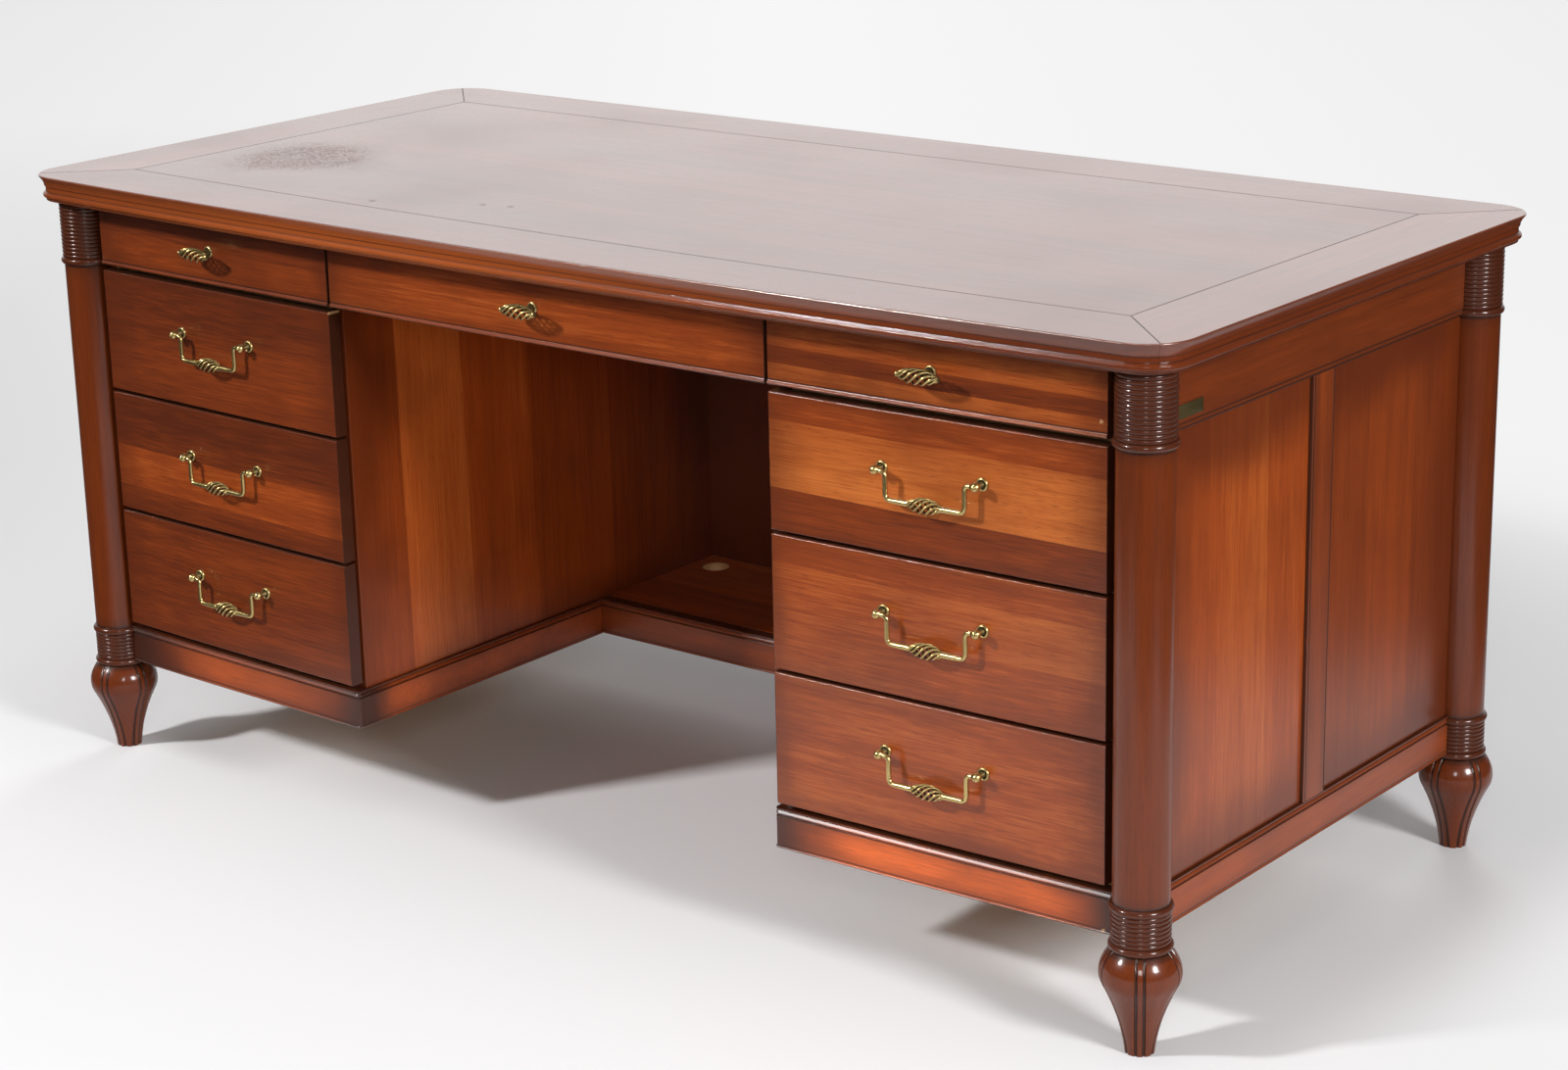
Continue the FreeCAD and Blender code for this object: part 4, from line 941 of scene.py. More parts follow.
def pull_post_shape():
    """Two posts of a pull, each a rosette, stem and ball with a small tip; the pivot is the origin."""
    shape = Shape()
    steps = 16
    ball = []
    for step in range(steps + 1):
        turn = BALL_START + (math.pi - BALL_START - BALL_END) * step / steps
        ball.append((-BALL_R * math.cos(turn), BALL_R * math.sin(turn)))
    ball += [(BALL_R * 1.02, 1.7 * MM), (BALL_R * 1.18, 1.4 * MM), (BALL_R * 1.25, 0.5 * MM)]
    dark = [0.6] + [0.0] * steps + [0.6, 0.0, 0.0]
    for side in (-1, 1):
        x = side * PULL_APART / 2
        add_rosette(shape, Vector((x, PULL_OUT, 0)), PULL_OUT - BALL_R * 0.7)
        shape.lathe(ball, Vector((x, 0, 0)), Vector((0, -1, 0)), 32, dark)
    return shape


def knob_shape():
    """A knob without its cage, about the cage's middle."""
    shape = Shape()
    add_rosette(shape, Vector((0, KNOB_OUT, 0)), KNOB_OUT - CAGE_R)
    add_collars(shape, Vector((0, 0, 0)), KNOB_LONG)
    return shape


def pivot_matrix(joint):
    """A pull's own axes in the row frame, from its hinge."""
    along = -Vector(joint["axis"]).normalized()
    up = Vector((0, 0, 1))
    matrix = Matrix((along, up.cross(along), up)).transposed().to_4x4()
    matrix.translation = Vector(joint["pos_m"])
    return matrix


class DESK_OT_pulls(bpy.types.Operator):
    """Builds the six bail pulls and the posts that they swing in"""
    bl_idname = "desk.pulls"
    bl_label = "Pulls"

    def execute(self, context):
        wire_tree()
        cage_tree()
        trees = [("Round wire", {"Sides": WIRE_SIDES}),
                 cage_inputs(Vector((0, 0, -BAIL_DROP)), CAGE_LONG, 0.5)]
        for side in SIDES:
            for row in ROWS:
                drawer = f"drawer_{side}_{row}"
                matrix = pivot_matrix(JOINTS[f"{drawer}_pull_hinge"])
                bail_shape().piece(f"{drawer}_twisted_bail", matrix, MATERIALS["antique brass"],
                                   f"{drawer}_pull", "brass", f"{drawer}_bail", trees=trees)
                pull_post_shape().piece(f"{drawer}_ball_posts", matrix, MATERIALS["antique brass"],
                                        drawer, "brass", f"{drawer}_pull_posts")
        return {"FINISHED"}


class DESK_OT_knobs(bpy.types.Operator):
    """Builds the three cage knobs of the frieze drawers"""
    bl_idname = "desk.knobs"
    bl_label = "Knobs"

    def execute(self, context):
        cage_tree()
        trees = [cage_inputs(Vector((0, 0, 0)), KNOB_LONG, 0.0)]
        for side in TRIO:
            drawer = f"frieze_drawer_{side}"
            low, high = box_corners(f"{drawer}_knob")
            if side == "middle":
                matrix = Matrix.Identity(4)
            else:
                matrix = pivot_matrix(JOINTS[f"drawer_{side}_top_pull_hinge"])
            middle = (low + high) / 2
            matrix.translation = Vector((middle.x, high.y - KNOB_OUT, middle.z))
            knob_shape().piece(f"{drawer}_cage_knob", matrix, MATERIALS["antique brass"], drawer, "brass",
                               f"{drawer}_knob", trees=trees)
        return {"FINISHED"}


# ---------------------------------------------------------------- finishes of the CAD nodes

WORN_EDGE = 0.7 * MM


def soften(node, width, segments=2):
    """Joins a CAD node's facets and rounds its edges, by modifiers."""
    made = NODES[node]
    weld = made.modifiers.new("join facets", "WELD")
    weld.merge_threshold = 0.01 * MM
    bevel = made.modifiers.new("worn edges", "BEVEL")
    bevel.width = width
    bevel.segments = segments
    bevel.limit_method = "ANGLE"
    bevel.angle_limit = math.radians(40)
    made.modifiers.new("shading", "WEIGHTED_NORMAL")


def dress(node, material):
    """Gives a CAD node one material."""
    mesh = NODES[node].data
    mesh.materials.clear()
    mesh.materials.append(material)
    mesh.polygons.foreach_set("material_index", [0] * len(mesh.polygons))


# Past any corner of the desk.
FAR = 10.0
# The near-black colour laid along the edges of the fronts and rails, and how far it reaches from them.
EDGE_BLACK = (0.035, 0.011, 0.005)
EDGE_BLACK_REACH = 1.4 * MM


def node_box(node, skip=""):
    """The box of a node, with the axes named in skip left far apart."""
    low, high = (list(corner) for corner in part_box(node))
    for axis in skip:
        low["XYZ".index(axis)] = -FAR
        high["XYZ".index(axis)] = FAR
    return tuple(low), tuple(high)


# Glued staves of each drawer front from its foot up: (share of the height, tone from 0 to 1).
FRONT_STAVES = {
    "drawer_left_top_front": ((0.0, 0.36), (0.55, 0.3)),
    "drawer_left_middle_front": ((0.0, 0.3), (0.16, 0.66), (0.5, 0.28)),
    "drawer_left_bottom_front": ((0.0, 0.32), (0.6, 0.26)),
    "drawer_right_top_front": ((0.0, 0.42), (0.34, 1.0), (0.83, 0.54)),
    "drawer_right_middle_front": ((0.0, 0.7), (0.45, 0.8), (0.82, 0.66)),
    "drawer_right_bottom_front": ((0.0, 0.66), (0.4, 0.72), (0.75, 0.64)),
    "frieze_drawer_left_front": ((0.0, 0.46), (0.45, 0.28)),
    "frieze_drawer_middle_front": ((0.0, 0.72), (0.5, 0.62)),
    "frieze_drawer_right_front": ((0.0, 0.8), (0.36, 0.36), (0.6, 0.72)),
}
# Bare chips of a node: (across, up) in metres.
CHIPS = {"frieze_drawer_right_front": ((0.7396, 0.667),), "plinth_right": ((0.7438, 0.1264),),
         "plinth_left": ((-0.2994, 0.1674),), "drawer_left_top_front": ((-0.3305, 0.642),)}


def front_wood(node):
    """A drawer front: horizontal staves, smoky towards its ends and near-black along its edges."""
    low, high = box_corners(node)
    smoke = settings("desk_finish").dark
    made = Wood(f"{node} wood", "XZY").drawn_staves(low.z, high.z, FRONT_STAVES[node]).stain()
    made.edges(node_box(node, "YZ"), 60 * MM, 0.4, 5.0, smoke)
    made.edges(node_box(node, "Y"), 26 * MM, 0.35, 9.0, smoke)
    made.edges(node_box(node, "Y"), EDGE_BLACK_REACH, 0.85, 60.0, EDGE_BLACK)
    if "frieze" in node:
        # Painted shade in the quirk over the front's foot bead.
        made.lines("Z", [(low.z + 6 * MM, 1.2 * MM)], 0.7)
    return made.chips(CHIPS.get(node, ())).lacquer()


PANEL_STAVE = 100 * MM
# Tones of the kneehole's side panels from the front back: (share of the depth, tone). Partly glued staves,
# partly painted shade: they darken towards the back, where the top and the frieze shade the kneehole.
KNEE_STAVES_AND_SHADE = ((0.0, 0.5), (0.13, 0.85), (0.3, 0.66), (0.48, 0.45), (0.7, 0.3))
# Glued staves of the sides' panels from the front back, both panels of a side together.
SIDE_STAVES = ((0.0, 0.62), (0.16, 0.74), (0.34, 0.66), (0.5, 0.36), (0.68, 0.44), (0.84, 0.38))


def panel_wood(node, axes, shade, staves=None):
    """A panel of glued staves, smoky all round. Its staves are drawn from the front back, or random."""
    made = Wood(f"{node} wood", axes, shade=shade, contrast=0.5)
    if staves:
        low, high = box_corners(node)
        made.drawn_staves(low.y, high.y, staves)
    else:
        made.staves(PANEL_STAVE, 0.2)
    made.stain()
    made.edges(node_box(node, "X"), 90 * MM, 0.75, 4.0, settings("desk_finish").dark)
    return made.lacquer()


def rail_wood(node, axes, shade, levels=(), skip="XY"):
    """A rail, darker along its edges, with near-black lines of painted shade in its grooves at heights
    (height, half width).
    """
    smoke = settings("desk_finish").dark
    made = Wood(f"{node} wood", axes, shade=shade, contrast=0.6).stain()
    made.edges(node_box(node, skip), 22 * MM, 0.4, 8.0, smoke)
    made.edges(node_box(node, skip), EDGE_BLACK_REACH, 0.85, 60.0, EDGE_BLACK)
    if node.startswith("plinth"):
        # The two ends of the plinth's front are smoky, and not the long part in the kneehole.
        front = box_corners(node)[0].y
        back = parts_of(made.tree, made.place)["Y"]
        near = span(made.tree, back, front + 25 * MM, front + 60 * MM, 1.0, 0.0)
        made.edges(node_box(node, "YZ"), 150 * MM, 1.0, 4.0, smoke, near)
        made.edges(node_box(node, "YZ"), 60 * MM, 0.6, 4.0, None, near)
    made.lines("Z", levels, 0.7)
    return made.chips(CHIPS.get(node, ())).lacquer(0.335)


# Grooves of a moulding, (depth under its top or height over its foot, half width of the dark line). The dark
# lines are painted shade in the grooves.
BASE_BEAD_GROOVES = ((2.6 * MM, 1.3 * MM), (8.6 * MM, 1.3 * MM))
BASE_FOOT_GROOVE = (4.3 * MM, 1.0 * MM)
TOP_EDGE_GROOVES = ((14.8 * MM, 0.9 * MM), (21 * MM, 0.9 * MM), (30.8 * MM, 1.1 * MM))
FRIEZE_FOOT_GROOVES = ((6.5 * MM, 1.3 * MM), (1.5 * MM, 1.5 * MM))


def levels_under(height, grooves):
    return [(height - depth, half) for depth, half in grooves]


def moulding_levels(node):
    """The two grooves beside the upper bead of a base moulding, and the one over its foot bead."""
    low, high = box_corners(node)
    foot, half = BASE_FOOT_GROOVE
    return levels_under(high.z, BASE_BEAD_GROOVES) + [(low.z + foot, half)]


# The middle (across, back) and reach of the top's worn patch, and its few small stains.
WORN_AT = (-0.61, -0.125)
WORN_REACH = 120 * MM
STAINS_AT = ((-0.2026, -0.2209), (-0.1669, -0.2123), (-0.332, -0.2742), (0.174, -0.3808))
STAIN_REACH = 6 * MM
WORN_TINT = (0.12, 0.034, 0.02)
# Tint of the front moulding's left part: partly rubbed wear, partly painted light.
RUBBED_AND_LIT_TINT = (0.4, 0.09, 0.014)
# How much of the coat is gone in the worn patch, and how rough the rest is.
WORN_DULL = 0.5
# The roughness, the wrinkles and the index of refraction of the top's coat.
TOP_ROUGH = 0.175
TOP_WRINKLE = 0.22
TOP_COAT_IOR = 2.0


def worn_patches(made, height):
    """The dull worn patch and stains of the top's panel, at its height."""
    tree = made.tree
    worn = spot(tree, made.place, (*WORN_AT, height), WORN_REACH, 0.35)
    scratches = noise(tree, scaled(tree, made.place, (0.5, 1, 1)), 380.0, 4.0, 0.7)
    patch = calc(tree, "MULTIPLY", worn, span(tree, scratches, 0.34, 0.6))
    for place in STAINS_AT:
        patch = calc(tree, "MAXIMUM", patch, spot(tree, made.place, (*place, height), STAIN_REACH, 0.25))
    made.over(patch, WORN_TINT, 0.9)
    made.dull = calc(tree, "MULTIPLY", patch, WORN_DULL)


def moulded_edge(made, node, height):
    """Under the top's arris: a softer shine, dark grooves of painted shade and a darker moulding, lighter
    along the left of the front, partly rubbed wear and partly painted light.

    Gives the coat's share and the wood's own shine, on the flat and on the moulding."""
    tree = made.tree
    place = parts_of(tree, made.place)
    edge = span(tree, place["Z"], height - 1.6 * MM, height - 1.1 * MM, 1.0, 0.0)
    rubbed = 0.0
    # Painted light, partly rubbed wear: the front's moulding is lighter along its left part, where its hollow
    # catches the light.
    if node == "top_border_front":
        rubbed = calc(tree, "MULTIPLY", span(tree, place["X"], -0.95, -0.35, 0.3, 1.0),
                      span(tree, place["X"], -0.1, 0.7, 1.0, 0.0))
    made.over(calc(tree, "MULTIPLY", edge, rubbed), RUBBED_AND_LIT_TINT, 0.6)
    smoky = calc(tree, "MULTIPLY", edge, calc(tree, "SUBTRACT", 1.0, rubbed))
    made.over(smoky, settings("desk_finish").dark, 0.5)
    made.lines("Z", levels_under(height, TOP_EDGE_GROOVES), 0.55)
    return span(tree, edge, 0.0, 1.0, 1.0, 0.5), span(tree, edge, 0.0, 1.0, 1.0, 0.1)


def top_wood(node, axes):
    """The polished top: a deep clear lacquer with fine wrinkles over the panel and its moulded border."""
    made = Wood(f"{node} wood", axes, shade=0.8, contrast=0.6).staves(0.11, 0.15).stain(0.25)
    feed(made.tree, made.shader, Coat_IOR=TOP_COAT_IOR)
    height = box_corners(node)[1].z
    if node == "top_panel":
        worn_patches(made, height)
        return made.lacquer(TOP_ROUGH, 1.0, TOP_WRINKLE, 1.0)
    coat, under = moulded_edge(made, node, height)
    return made.lacquer(TOP_ROUGH, coat, TOP_WRINKLE, under)


# The cable hole's middle lies this far in from the shelf's left and back edges.
HOLE_IN = 37.7 * MM
HOLE_R = 18.2 * MM


def shelf_wood(node):
    """The low shelf, whose cable hole shows bare wood."""
    made = Wood(f"{node} wood", "XYZ", shade=1.5).staves(PANEL_STAVE, 0.3).stain()
    low, high = box_corners(node)
    flat = scaled(made.tree, made.place, (1, 1, 0))
    away = vector_value(made.tree, "DISTANCE", flat, (low.x + HOLE_IN, high.y - HOLE_IN, 0))
    wall = span(made.tree, away, HOLE_R, HOLE_R + 0.4 * MM, 1.0, 0.0)
    return made.over(wall, settings("desk_finish").bare, 0.9).lacquer()


# How light the finish of a base moulding is, and that of the two plinths. The plinths are lighter, the right
# one most: partly bleached wood, partly painted reflection of the pale floor.
MOULDING_SHADE = 1.2
PLINTH_BLEACH_AND_REFLECTION = {"plinth_left": 1.75, "plinth_right": 2.8}


def node_material(node):
    """The material that a CAD node gets."""
    if node.endswith(("_bail", "_pull_posts", "_knob")):
        return MATERIALS["antique brass"]
    if node.startswith("post_"):
        return MATERIALS["post wood"]
    if node.endswith("_box") or node in ("pedestal_boards", "middle_drawer_runners"):
        return MATERIALS["inner wood"]
    if node in FRONT_STAVES:
        return front_wood(node)
    if node.startswith("top_"):
        return top_wood(node, "YXZ" if node.endswith(("left", "right")) else "XYZ")
    if node.startswith(("plinth", "side_base_rail", "back_base_rail", "knee_shelf_rail")):
        axes = "YZX" if node.startswith("side") else "XZY"
        return rail_wood(node, axes, PLINTH_BLEACH_AND_REFLECTION.get(node, MOULDING_SHADE), moulding_levels(node))
    if node.startswith("side_frieze"):
        foot = box_corners(node)[0].z
        return rail_wood(node, "YZX", 0.68, [(foot + up, half) for up, half in FRIEZE_FOOT_GROOVES])
    if node == "knee_shelf":
        return shelf_wood(node)
    if node == "side_muntins":
        return rail_wood(node, "ZYX", 0.95, skip="XZ")
    if node == "pedestal_stiles":
        return rail_wood(node, "ZXY", 0.7, skip="XYZ")
    if node.startswith("knee_panel"):
        return panel_wood(node, "ZYX", 1.45, KNEE_STAVES_AND_SHADE)
    if node.startswith("side_panels"):
        return panel_wood(node, "ZYX", 1.05, SIDE_STAVES)
    return panel_wood(node, "ZXY" if node == "back_panel" else "XZY", 0.8)


class DESK_OT_finishes(bpy.types.Operator):
    """Makes the shared materials and dresses the wooden CAD nodes"""
    bl_idname = "desk.finishes"
    bl_label = "Finishes"

    def execute(self, context):
        wood_group()
        edge_group()
        post_wood()
        inner_wood()
        line_lacquer()
        brass()
        for node in NODES:
            material = node_material(node)
            dress(node, material)
            if material not in (MATERIALS["post wood"], MATERIALS["antique brass"]):
                soften(node, WORN_EDGE)
        return {"FINISHED"}


# ---------------------------------------------------------------- lines and the plate

LINE_PROUD = 0.06 * MM
INLAY_HALF = 0.55 * MM
GROOVE_SHADE_HALF = 0.8 * MM


def add_strip(shape, points, outward, half):
    """A thin dark line along points of a surface, standing hardly proud of it."""
    rings = []
    for index, here in enumerate(points):
        before = points[max(index - 1, 0)]
        after = points[min(index + 1, len(points) - 1)]
        side = (after - before).normalized().cross(outward) * half
        rings.append([here - side, here + side, here + side + outward * LINE_PROUD,
                      here - side + outward * LINE_PROUD])
    shape.rings(rings, [0.0] * len(rings))


# How far a mitre's line runs past the post's axis, and how far the desk's front bows out.
MITRE_REACH = 51 * MM
BOW = 18 * MM
BOW_STEPS = 24


def post_axis(where):
    """The middle of a corner's post."""
    low, high = box_corners(f"post_{where}")
    return (low + high) / 2


def bow_rise(x, inset):
    """How far a line parallel to the bowed front, inset from it, lies back at x from its middle."""
    half = post_axis("front_right").x
    radius = (half ** 2 + BOW ** 2) / (2 * BOW) - inset
    return radius - math.sqrt(radius ** 2 - x ** 2)


# How far the dark strips of painted groove shade lie in from the upright's front and back edges.
GROOVE_SHADE_IN_FRONT = 4.5 * MM
GROOVE_SHADE_IN_BACK = 1.6 * MM
# The plate's middle (back, up) and its size.
PLATE_AT = (-259.25 * MM, 668.6 * MM)
PLATE_LONG = 49.5 * MM
PLATE_TALL = 14.8 * MM
PLATE_CORNER = 1.2 * MM
PLATE_THICK = 0.7 * MM


def top_lines():
    """Lines round the top's panel and along the four mitres."""
    shape = Shape()
    up = Vector((0, 0, 1))
    low, high = box_corners("top_panel")
    inset = post_axis("front_right").x - high.x
    rise = bow_rise(high.x, inset)
    corners = {}
    for x in (low.x, high.x):
        for y in (low.y + rise, high.y):
            corners[(x > 0, y > 0)] = Vector((x, y, high.z))
    front = []
    for step in range(BOW_STEPS + 1):
        x = low.x + (high.x - low.x) * step / BOW_STEPS
        front.append(Vector((x, low.y + bow_rise(x, inset), high.z)))
    add_strip(shape, front, up, INLAY_HALF)
    straight = [corners[where] for where in ((True, False), (True, True), (False, True), (False, False))]
    for start, end in zip(straight, straight[1:]):
        add_strip(shape, [start, end], up, INLAY_HALF)
    for (right, back), corner in corners.items():
        axis = post_axis(f"{'back' if back else 'front'}_{'right' if right else 'left'}")
        axis.z = corner.z
        out = (axis - corner).normalized()
        add_strip(shape, [corner, axis + out * MITRE_REACH], up, INLAY_HALF)
    return shape


def side_groove_shade():
    """Two thin dark strips on each upright between the side panels, near its edges: painted shade of the
    grooves there.
    """
    low, high = box_corners("side_muntins")
    shape = Shape()
    for x in (low.x, high.x):
        outward = Vector((math.copysign(1, x), 0, 0))
        for y in (low.y + GROOVE_SHADE_IN_FRONT, high.y - GROOVE_SHADE_IN_BACK):
            ends = [Vector((x, y, low.z + 1 * MM)), Vector((x, y, high.z - 1 * MM))]
            add_strip(shape, ends, outward, GROOVE_SHADE_HALF)
    return shape


def plate_shape():
    """A small bare brass plate with rounded corners on the right side's frieze."""
    face = box_corners("side_frieze_right")[1].x
    middle = Vector((face, *PLATE_AT))
    out = Vector((1, 0, 0))
    outline = []
    for back, up, start in ((1, 1, 0), (-1, 1, 90), (-1, -1, 180), (1, -1, 270)):
        across = back * (PLATE_LONG / 2 - PLATE_CORNER)
        above = up * (PLATE_TALL / 2 - PLATE_CORNER)
        at = middle + Vector((0, across, above))
        for step in range(5):
            turn = math.radians(start + 90 * step / 4)
            outline.append(at + Vector((0, math.cos(turn), math.sin(turn))) * PLATE_CORNER)
    rings = [outline, [point + out * PLATE_THICK * 0.7 for point in outline],
             [middle + (point - middle) * 0.97 + out * PLATE_THICK for point in outline]]
    shape = Shape()
    shape.rings(rings, [0.95, 0.9, 0.85])
    return shape


class DESK_OT_lines(bpy.types.Operator):
    """Builds the inlaid lines of the top, the sides' strips of painted groove shade, and the bare plate on
    the right side
    """
    bl_idname = "desk.lines"
    bl_label = "Lines and plate"

    def execute(self, context):
        still = Matrix.Identity(4)
        dark = MATERIALS["dark line"]
        top_lines().piece("top_inlay_lines", still, dark, "desk", "wood")
        side_groove_shade().piece("side_groove_shade_strips", still, dark, "desk", "wood")
        plate_shape().piece("bare_plate", still, MATERIALS["antique brass"], "desk", "brass")
        return {"FINISHED"}


# ---------------------------------------------------------------- stage

CAMERA_AT = (2.43925, -2.95769, 1.50210)
CAMERA_YAW = 0.67737
CAMERA_PITCH = -0.29535
CAMERA_ROLL = -0.0228
CAMERA_LENS = 75.29
# Level ways to the camera's right and ahead of it.
ACROSS = (math.cos(CAMERA_YAW), math.sin(CAMERA_YAW), 0.0)
AHEAD = (-math.sin(CAMERA_YAW), math.cos(CAMERA_YAW), 0.0)


def camera_matrix():
    across = Vector(ACROSS)
    level = Vector(AHEAD) * math.cos(CAMERA_PITCH)
    ahead = Vector((level.x, level.y, math.sin(CAMERA_PITCH)))
    up = across.cross(ahead)
    right = across * math.cos(CAMERA_ROLL) + up * math.sin(CAMERA_ROLL)
    above = up * math.cos(CAMERA_ROLL) - across * math.sin(CAMERA_ROLL)
    matrix = Matrix((right, above, -ahead)).transposed().to_4x4()
    matrix.translation = Vector(CAMERA_AT)
    return matrix


# Each lamp: (place, size, watts), all aimed at the desk's middle. The lamp behind isn't mirrored in the top.
AIM = (0, 0, 0.45)
LAMPS = {
    "key": ((-2.8, -4.4, 3.7), (0.55, 0.55), 310),
    "front": ((2.9, -3.8, 2.2), (0.6, 0.9), 38),
    "fill": ((4.9, -1.1, 2.4), (1.0, 1.2), 215),
    "sky": ((0.3, -0.3, 4.2), (2.6, 2.0), 30),
    "back": ((-1.8, 4.4, 2.4), (2.0, 1.6), 90),
}


def lamp(name):
    at, size, power = LAMPS[name]
    light = bpy.data.lights.new(name, "AREA")
    light.shape = "RECTANGLE"
    light.size, light.size_y = size
    light.energy = power
    made = bpy.data.objects.new(name, light)
    made.location = at
    made.rotation_euler = (Vector(AIM) - Vector(at)).to_track_quat("-Z", "Y").to_euler()
    made.visible_glossy = name != "back"
    bpy.context.collection.objects.link(made)


FLOOR_REACH = 14.0
FLOOR_PALE = (0.74, 0.74, 0.75)
FLOOR_DARK = (0.04, 0.04, 0.04)
# The lit sheet, in metres to the right of the camera's line and ahead of it. Past it only the camera sees
# a pale floor, which lights nothing.
SHEET_LEFT = -0.75
SHEET_RIGHT = 1.2
SHEET_FRONT = 2.35
SHEET_FADE = 0.6
SHEET_RIGHT_FADE = 0.4
# Distances from the desk's middle over which the floor turns into the backdrop's glow, and past its right
# side.
BACKDROP_FROM = (1.0, 2.1)
# Past the right side the glow is painted light: it washes out the desk's shadow on the floor by this share.
RIGHT_SIDE_FROM = (0.86, 1.1)
RIGHT_SIDE_LIGHT_SHARE = 0.8


def across_view(tree, place):
    """How far a place lies to the right of the line that the camera looks along, and how far ahead."""
    found = []
    for way in (ACROSS, AHEAD):
        dot = vector_value(tree, "DOT_PRODUCT", place, way)
        found.append(calc(tree, "SUBTRACT", dot, Vector(way).dot(Vector(CAMERA_AT))))
    return found


def pale_floor():
    """A white sheet that holds shadows near the desk and runs out into a glowing white backdrop, with painted
    shade towards its left and painted light over the desk's shadow past its right side.
    """
    tree, shader = new_material("pale floor")
    place = object_place(tree)
    seen = tree.nodes.new("ShaderNodeLightPath").outputs["Is Camera Ray"]
    side, ahead = across_view(tree, place)
    sheet = calc(tree, "MULTIPLY", span(tree, side, SHEET_LEFT - SHEET_FADE, SHEET_LEFT, smooth=True),
                 span(tree, side, SHEET_RIGHT, SHEET_RIGHT + SHEET_RIGHT_FADE, 1.0, 0.0, smooth=True))
    front = span(tree, ahead, SHEET_FRONT - SHEET_FADE, SHEET_FRONT, smooth=True)
    sheet = calc(tree, "MULTIPLY", sheet, front)
    lit = calc(tree, "MAXIMUM", sheet, seen)
    # Painted light: past the desk's right side the glow covers the desk's shadow on the floor.
    beside = span(tree, parts_of(tree, place)["X"], *RIGHT_SIDE_FROM, 0.0, RIGHT_SIDE_LIGHT_SHARE, smooth=True)
    away = span(tree, vector_value(tree, "LENGTH", place), *BACKDROP_FROM, smooth=True)
    far = calc(tree, "MULTIPLY", calc(tree, "MAXIMUM", away, beside), seen)
    # Painted shade: the glow is darker towards the left, most near the desk, and a little darker to the right
    # and near the camera.
    near_left = span(tree, side, -1.6, -0.2, 0.68, 0.93)
    far_left = span(tree, side, -3.0, 0.0, 0.8, 0.93)
    left = mixed_value(tree, span(tree, ahead, 5.5, 9.0), near_left, far_left)
    right = calc(tree, "MULTIPLY", span(tree, side, 0.0, 2.4, 1.0, 0.93),
                 span(tree, ahead, 2.2, 4.5, 0.95, 1.0))
    level = calc(tree, "MULTIPLY", calc(tree, "MULTIPLY", left, right), far)
    glow = add_node(tree, "ShaderNodeCombineColor", {0: level, 1: level, 2: level}).outputs[0]
    base = mixed(tree, lit, FLOOR_DARK, FLOOR_PALE)
    base = mixed(tree, far, base, (0, 0, 0))
    feed(tree, shader, Base_Color=base, Roughness=0.8, Specular_IOR_Level=0.0, Emission_Color=glow,
         Emission_Strength=1.0)


# Strengths of the world: for soft light, for the camera, and in reflections from in front to behind the desk.
WORLD_SOFT = 0.18
WORLD_SEEN = 0.92
WORLD_SHINE = (0.07, 1.0)


def studio_world():
    """Even soft light, white behind the desk for the camera and for what shines."""
    world = bpy.data.worlds.new("studio")
    world.use_nodes = True
    tree = world.node_tree
    tree.nodes.clear()
    ways = tree.nodes.new("ShaderNodeLightPath").outputs
    facing = tree.nodes.new("ShaderNodeTexCoord").outputs["Generated"]
    behind = span(tree, vector_value(tree, "DOT_PRODUCT", facing, AHEAD), 0.6, 0.9, smooth=True)
    low = span(tree, parts_of(tree, facing)["Z"], 0.85, 0.6)
    shine = span(tree, calc(tree, "MULTIPLY", behind, low), 0.0, 1.0, *WORLD_SHINE)
    strength = mixed_value(tree, ways["Is Glossy Ray"], WORLD_SOFT, shine)
    strength = mixed_value(tree, ways["Is Camera Ray"], strength, WORLD_SEEN)
    background = add_node(tree, "ShaderNodeBackground", {"Color": (1, 1, 1, 1), "Strength": strength})
    output = tree.nodes.new("ShaderNodeOutputWorld")
    tree.links.new(background.outputs[0], output.inputs["Surface"])
    return world


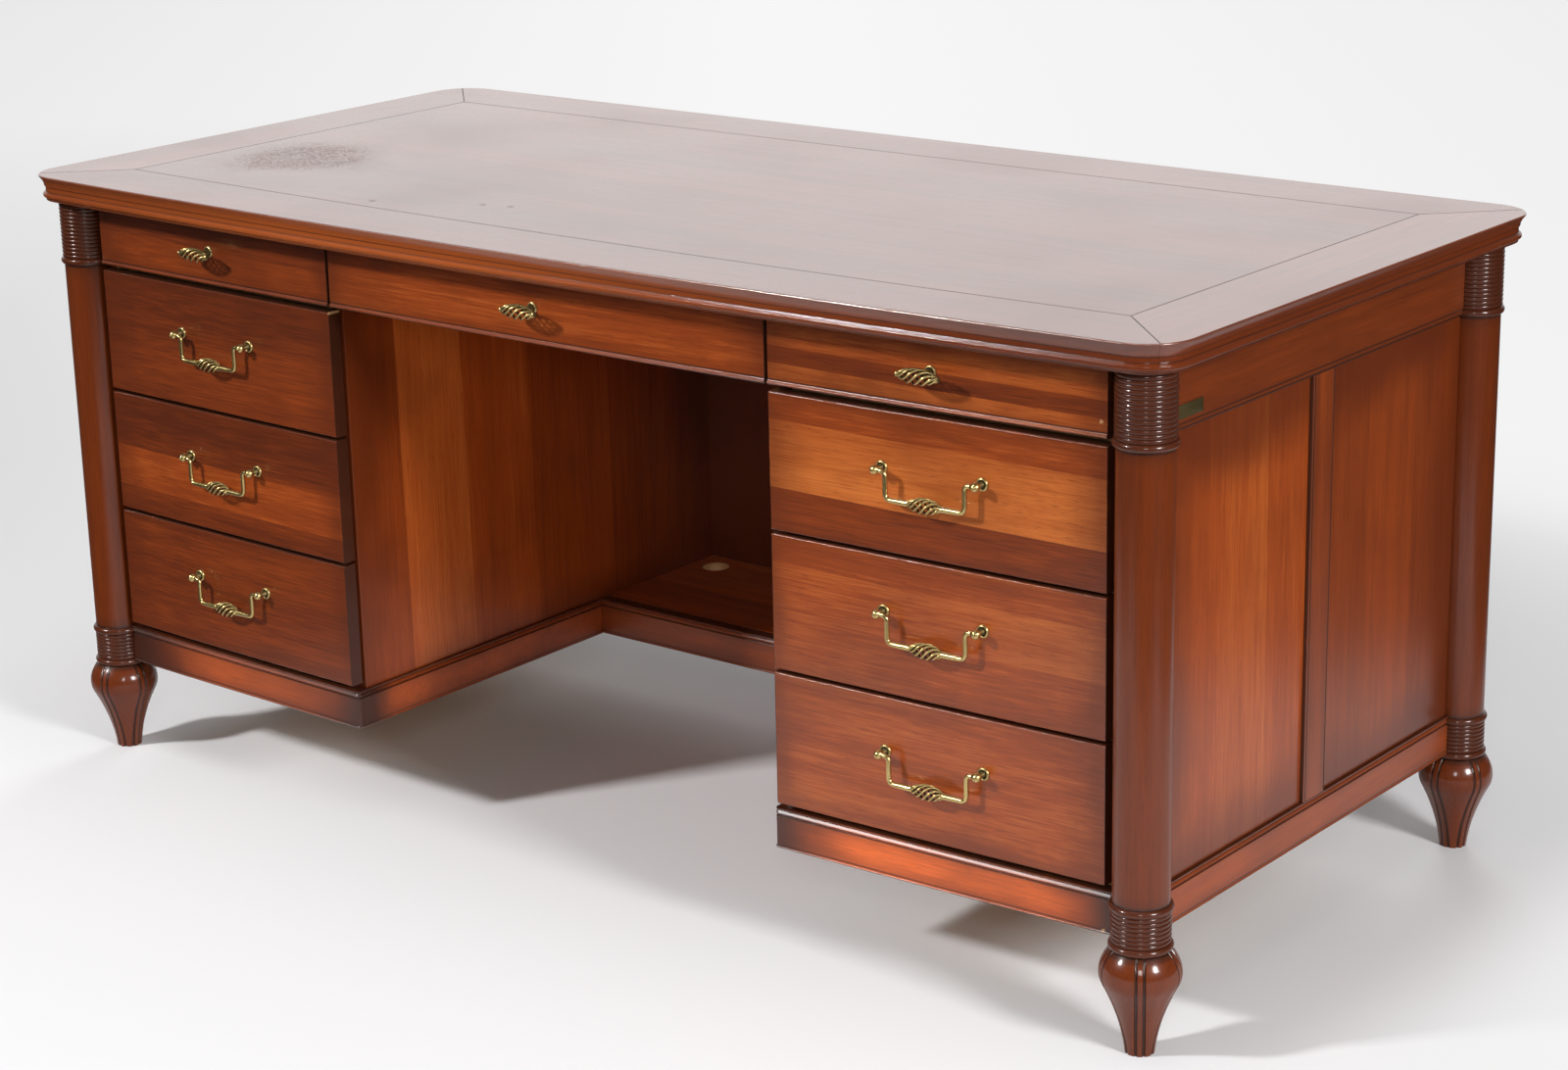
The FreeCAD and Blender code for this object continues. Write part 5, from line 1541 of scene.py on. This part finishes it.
class DESK_OT_stage(bpy.types.Operator):
    """Builds the pale floor, the soft lights and the camera"""
    bl_idname = "desk.stage"
    bl_label = "Stage"

    def execute(self, context):
        scene = context.scene
        floor = bpy.data.meshes.new("floor")
        reach = FLOOR_REACH
        corners = [(-reach, -reach, 0), (reach, -reach, 0), (reach, reach, 0), (-reach, reach, 0)]
        floor.from_pydata(corners, [], [(0, 1, 2, 3)])
        pale_floor()
        floor.materials.append(MATERIALS["pale floor"])
        ground = bpy.data.objects.new("floor", floor)
        context.collection.objects.link(ground)
        scene.world = studio_world()

        for name in LAMPS:
            lamp(name)
        eye = bpy.data.cameras.new("camera")
        eye.lens = CAMERA_LENS
        eye.sensor_width = 36
        made = bpy.data.objects.new("camera", eye)
        made.matrix_world = camera_matrix()
        context.collection.objects.link(made)
        scene.camera = made
        scene.view_settings.view_transform = "Standard"
        return {"FINISHED"}


# ---------------------------------------------------------------- panel and registration

OPERATORS = (DESK_OT_finishes, DESK_OT_posts, DESK_OT_pulls, DESK_OT_knobs, DESK_OT_lines, DESK_OT_stage)


class DESK_PT_tools(bpy.types.Panel):
    """Lists the desk's settings and the steps that build it"""
    bl_idname = "DESK_PT_tools"
    bl_label = "Partners desk"
    bl_space_type = "VIEW_3D"
    bl_region_type = "UI"
    bl_category = "Desk"

    def draw(self, context):
        for name, kind in SETTINGS.items():
            box = self.layout.box()
            for title in kind.__annotations__:
                box.prop(getattr(context.scene, name), title)
        for operator in OPERATORS:
            self.layout.operator(operator.bl_idname)


SETTINGS = {"desk_posts": DeskPostSettings, "desk_pulls": DeskPullSettings, "desk_finish": DeskFinishSettings}


def register():
    for name, kind in SETTINGS.items():
        bpy.utils.register_class(kind)
        setattr(bpy.types.Scene, name, bpy.props.PointerProperty(type=kind))
    for operator in OPERATORS:
        bpy.utils.register_class(operator)
    bpy.utils.register_class(DESK_PT_tools)


def unregister():
    bpy.utils.unregister_class(DESK_PT_tools)
    for operator in reversed(OPERATORS):
        bpy.utils.unregister_class(operator)
    for name, kind in SETTINGS.items():
        delattr(bpy.types.Scene, name)
        bpy.utils.unregister_class(kind)


def main():
    register()
    bpy.ops.desk.finishes()
    bpy.ops.desk.posts()
    bpy.ops.desk.pulls()
    bpy.ops.desk.knobs()
    bpy.ops.desk.lines()
    bpy.ops.desk.stage()


if __name__ == "__main__":
    main()
